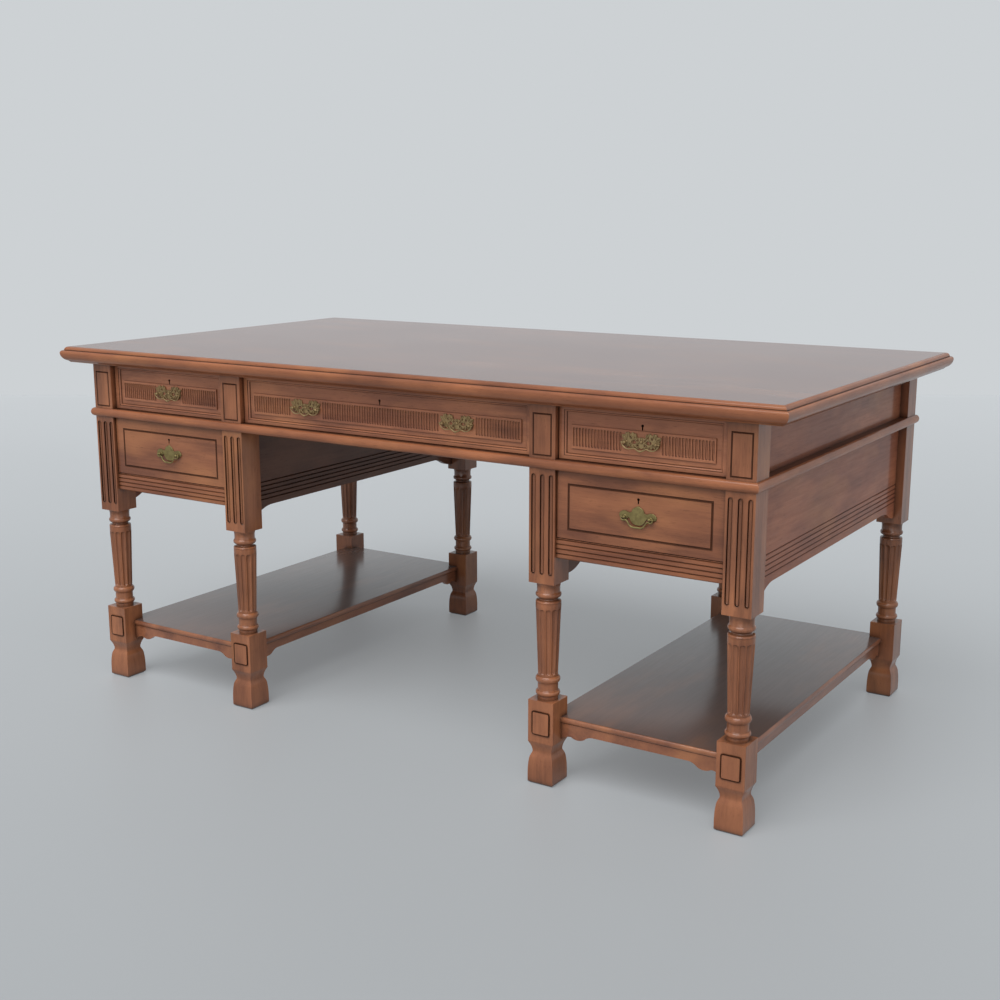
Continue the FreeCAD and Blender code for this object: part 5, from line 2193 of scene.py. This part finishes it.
@dataclass
class Studio:
    """Floor, backdrop, lamps and camera.

    Attributes:
        eye: Where the camera stands, in metres.
        heading: Its turn to the left of the depth axis, in degrees.
        pitch: How far it looks down, in degrees.
        lens: Its focal length, in millimetres.
        sensor: Width of its sensor, in millimetres.
        sight: How far it sees, in metres.
        far: How far in front of the camera the floor ends.
        half: Half of the floor's width.
        paled_from: How far in front of the camera the floor begins to pale.
        backdrop: Colour of the backdrop.
        floor: Colour of the floor near the camera.
        floor_far: Its colour where it meets the backdrop.
        glow: Share of the floor's paleness that shadows don't take away.
        daylight: Strength of the even light from all sides.
        suns: The lamps.
    """

    eye: Triple = (1.66616, -2.58430, 1.09830)
    heading: float = 32.73
    pitch: float = 12.19
    lens: float = 50.0
    sensor: float = 36.0
    sight: float = 100.0
    far: float = 7.94
    half: float = 14.0
    paled_from: float = 1.0
    backdrop: Triple = (0.610, 0.638, 0.658)
    floor: Triple = (0.270, 0.286, 0.298)
    floor_far: Triple = (0.371, 0.390, 0.404)
    glow: float = 0.52
    daylight: float = 0.30
    suns: tuple[Sun, ...] = (
        Sun("key", heading=-90.0, height=56.0, spread=50.0, strength=2.1),
        Sun("front", heading=-84.0, height=5.0, spread=40.0, strength=0.42),
        Sun("fill", heading=-24.0, height=22.0, spread=80.0, strength=0.5),
    )

    def camera(self) -> None:
        """Makes the camera and hands it to the scene."""
        data = bpy.data.cameras.new("view")
        data.lens = self.lens
        data.sensor_width = self.sensor
        data.clip_end = self.sight
        camera = bpy.data.objects.new("view", data)
        camera.location = self.eye
        camera.rotation_euler = (math.radians(90 - self.pitch), 0.0, math.radians(self.heading))
        bpy.context.scene.collection.objects.link(camera)
        bpy.context.scene.camera = camera

    def paint(self) -> Material:
        """Makes the floor's paint, paler away from the camera and soft in its shadows."""
        turn = math.radians(self.heading)
        g = Graph(bpy.data.materials.new("floor_paint"))
        place = g.add("ShaderNodeTexCoord").outputs["Object"]
        square = g.add("ShaderNodeMapping", {"Vector": place, "Rotation": (0.0, 0.0, -turn)})
        depth = g.add("ShaderNodeSeparateXYZ", {0: square.outputs[0]}).outputs[1]
        start = (Matrix.Rotation(-turn, 3, "Z") @ Vector((self.eye[0], self.eye[1], 0.0))).y
        away = g.spread(depth, start + self.paled_from, start + self.far)
        colour = g.mix(away, (*self.floor, 1.0), (*self.floor_far, 1.0))
        cloud = g.math("MULTIPLY", g.noise(place, scale=0.8, detail=2.0), 0.04)
        colour = g.mix(cloud, colour, (*self.backdrop, 1.0))
        path = g.add("ShaderNodeLightPath").outputs
        seen = g.math("MAXIMUM", path["Is Camera Ray"], path["Is Glossy Ray"])
        glow = g.math("MULTIPLY", seen, self.glow)
        inputs = {"Base Color": colour, "Roughness": 0.5, "Emission Color": colour}
        return g.shade({**inputs, "Emission Strength": glow})

    def ground(self) -> None:
        """Makes the floor, square to the camera's heading."""
        form = bmesh.new()
        bmesh.ops.create_grid(form, x_segments=1, y_segments=1, size=self.half)
        turn = Matrix.Rotation(math.radians(self.heading), 4, "Z")
        ahead = turn @ Vector((0.0, self.far - self.half, 0.0))
        eye = Vector((self.eye[0], self.eye[1], 0.0))
        form.transform(Matrix.Translation(eye + ahead) @ turn)
        mesh = bpy.data.meshes.new("studio_floor")
        form.to_mesh(mesh)
        form.free()
        mesh.materials.append(self.paint())
        floor = bpy.data.objects.new("studio_floor", mesh)
        bpy.context.scene.collection.objects.link(floor)

    def air(self) -> None:
        """Makes the backdrop and the even light that comes from all sides."""
        world = bpy.data.worlds.new("studio")
        bpy.context.scene.world = world
        g = Graph(world)
        path = g.add("ShaderNodeLightPath").outputs
        clear = g.math("MAXIMUM", path["Is Glossy Ray"], path["Is Transmission Ray"])
        seen = g.math("MAXIMUM", path["Is Camera Ray"], clear)
        white = {"Color": (1.0, 1.0, 1.0, 1.0), "Strength": self.daylight}
        lit = g.add("ShaderNodeBackground", white).outputs[0]
        pale = {"Color": (*self.backdrop, 1.0), "Strength": 1.0}
        shown = g.add("ShaderNodeBackground", pale).outputs[0]
        mix = g.add("ShaderNodeMixShader", {0: seen, 1: lit, 2: shown}).outputs[0]
        g.add("ShaderNodeOutputWorld", {"Surface": mix})

    def build(self) -> None:
        """Sets up the whole studio."""
        self.camera()
        self.ground()
        self.air()
        for sun in self.suns:
            sun.build()
        bpy.context.scene.view_settings.view_transform = "Standard"


def main() -> None:
    """Builds the dressed desk and its studio."""
    logging.basicConfig(level=logging.INFO, format="%(name)s: %(message)s")
    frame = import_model()
    Studio().build()
    desk = Desk()
    desk.dress_nodes(frame["nodes"])
    desk.build_frame()
    desk.build_drawers()
    bpy.context.view_layer.update()


if __name__ == "__main__":
    main()
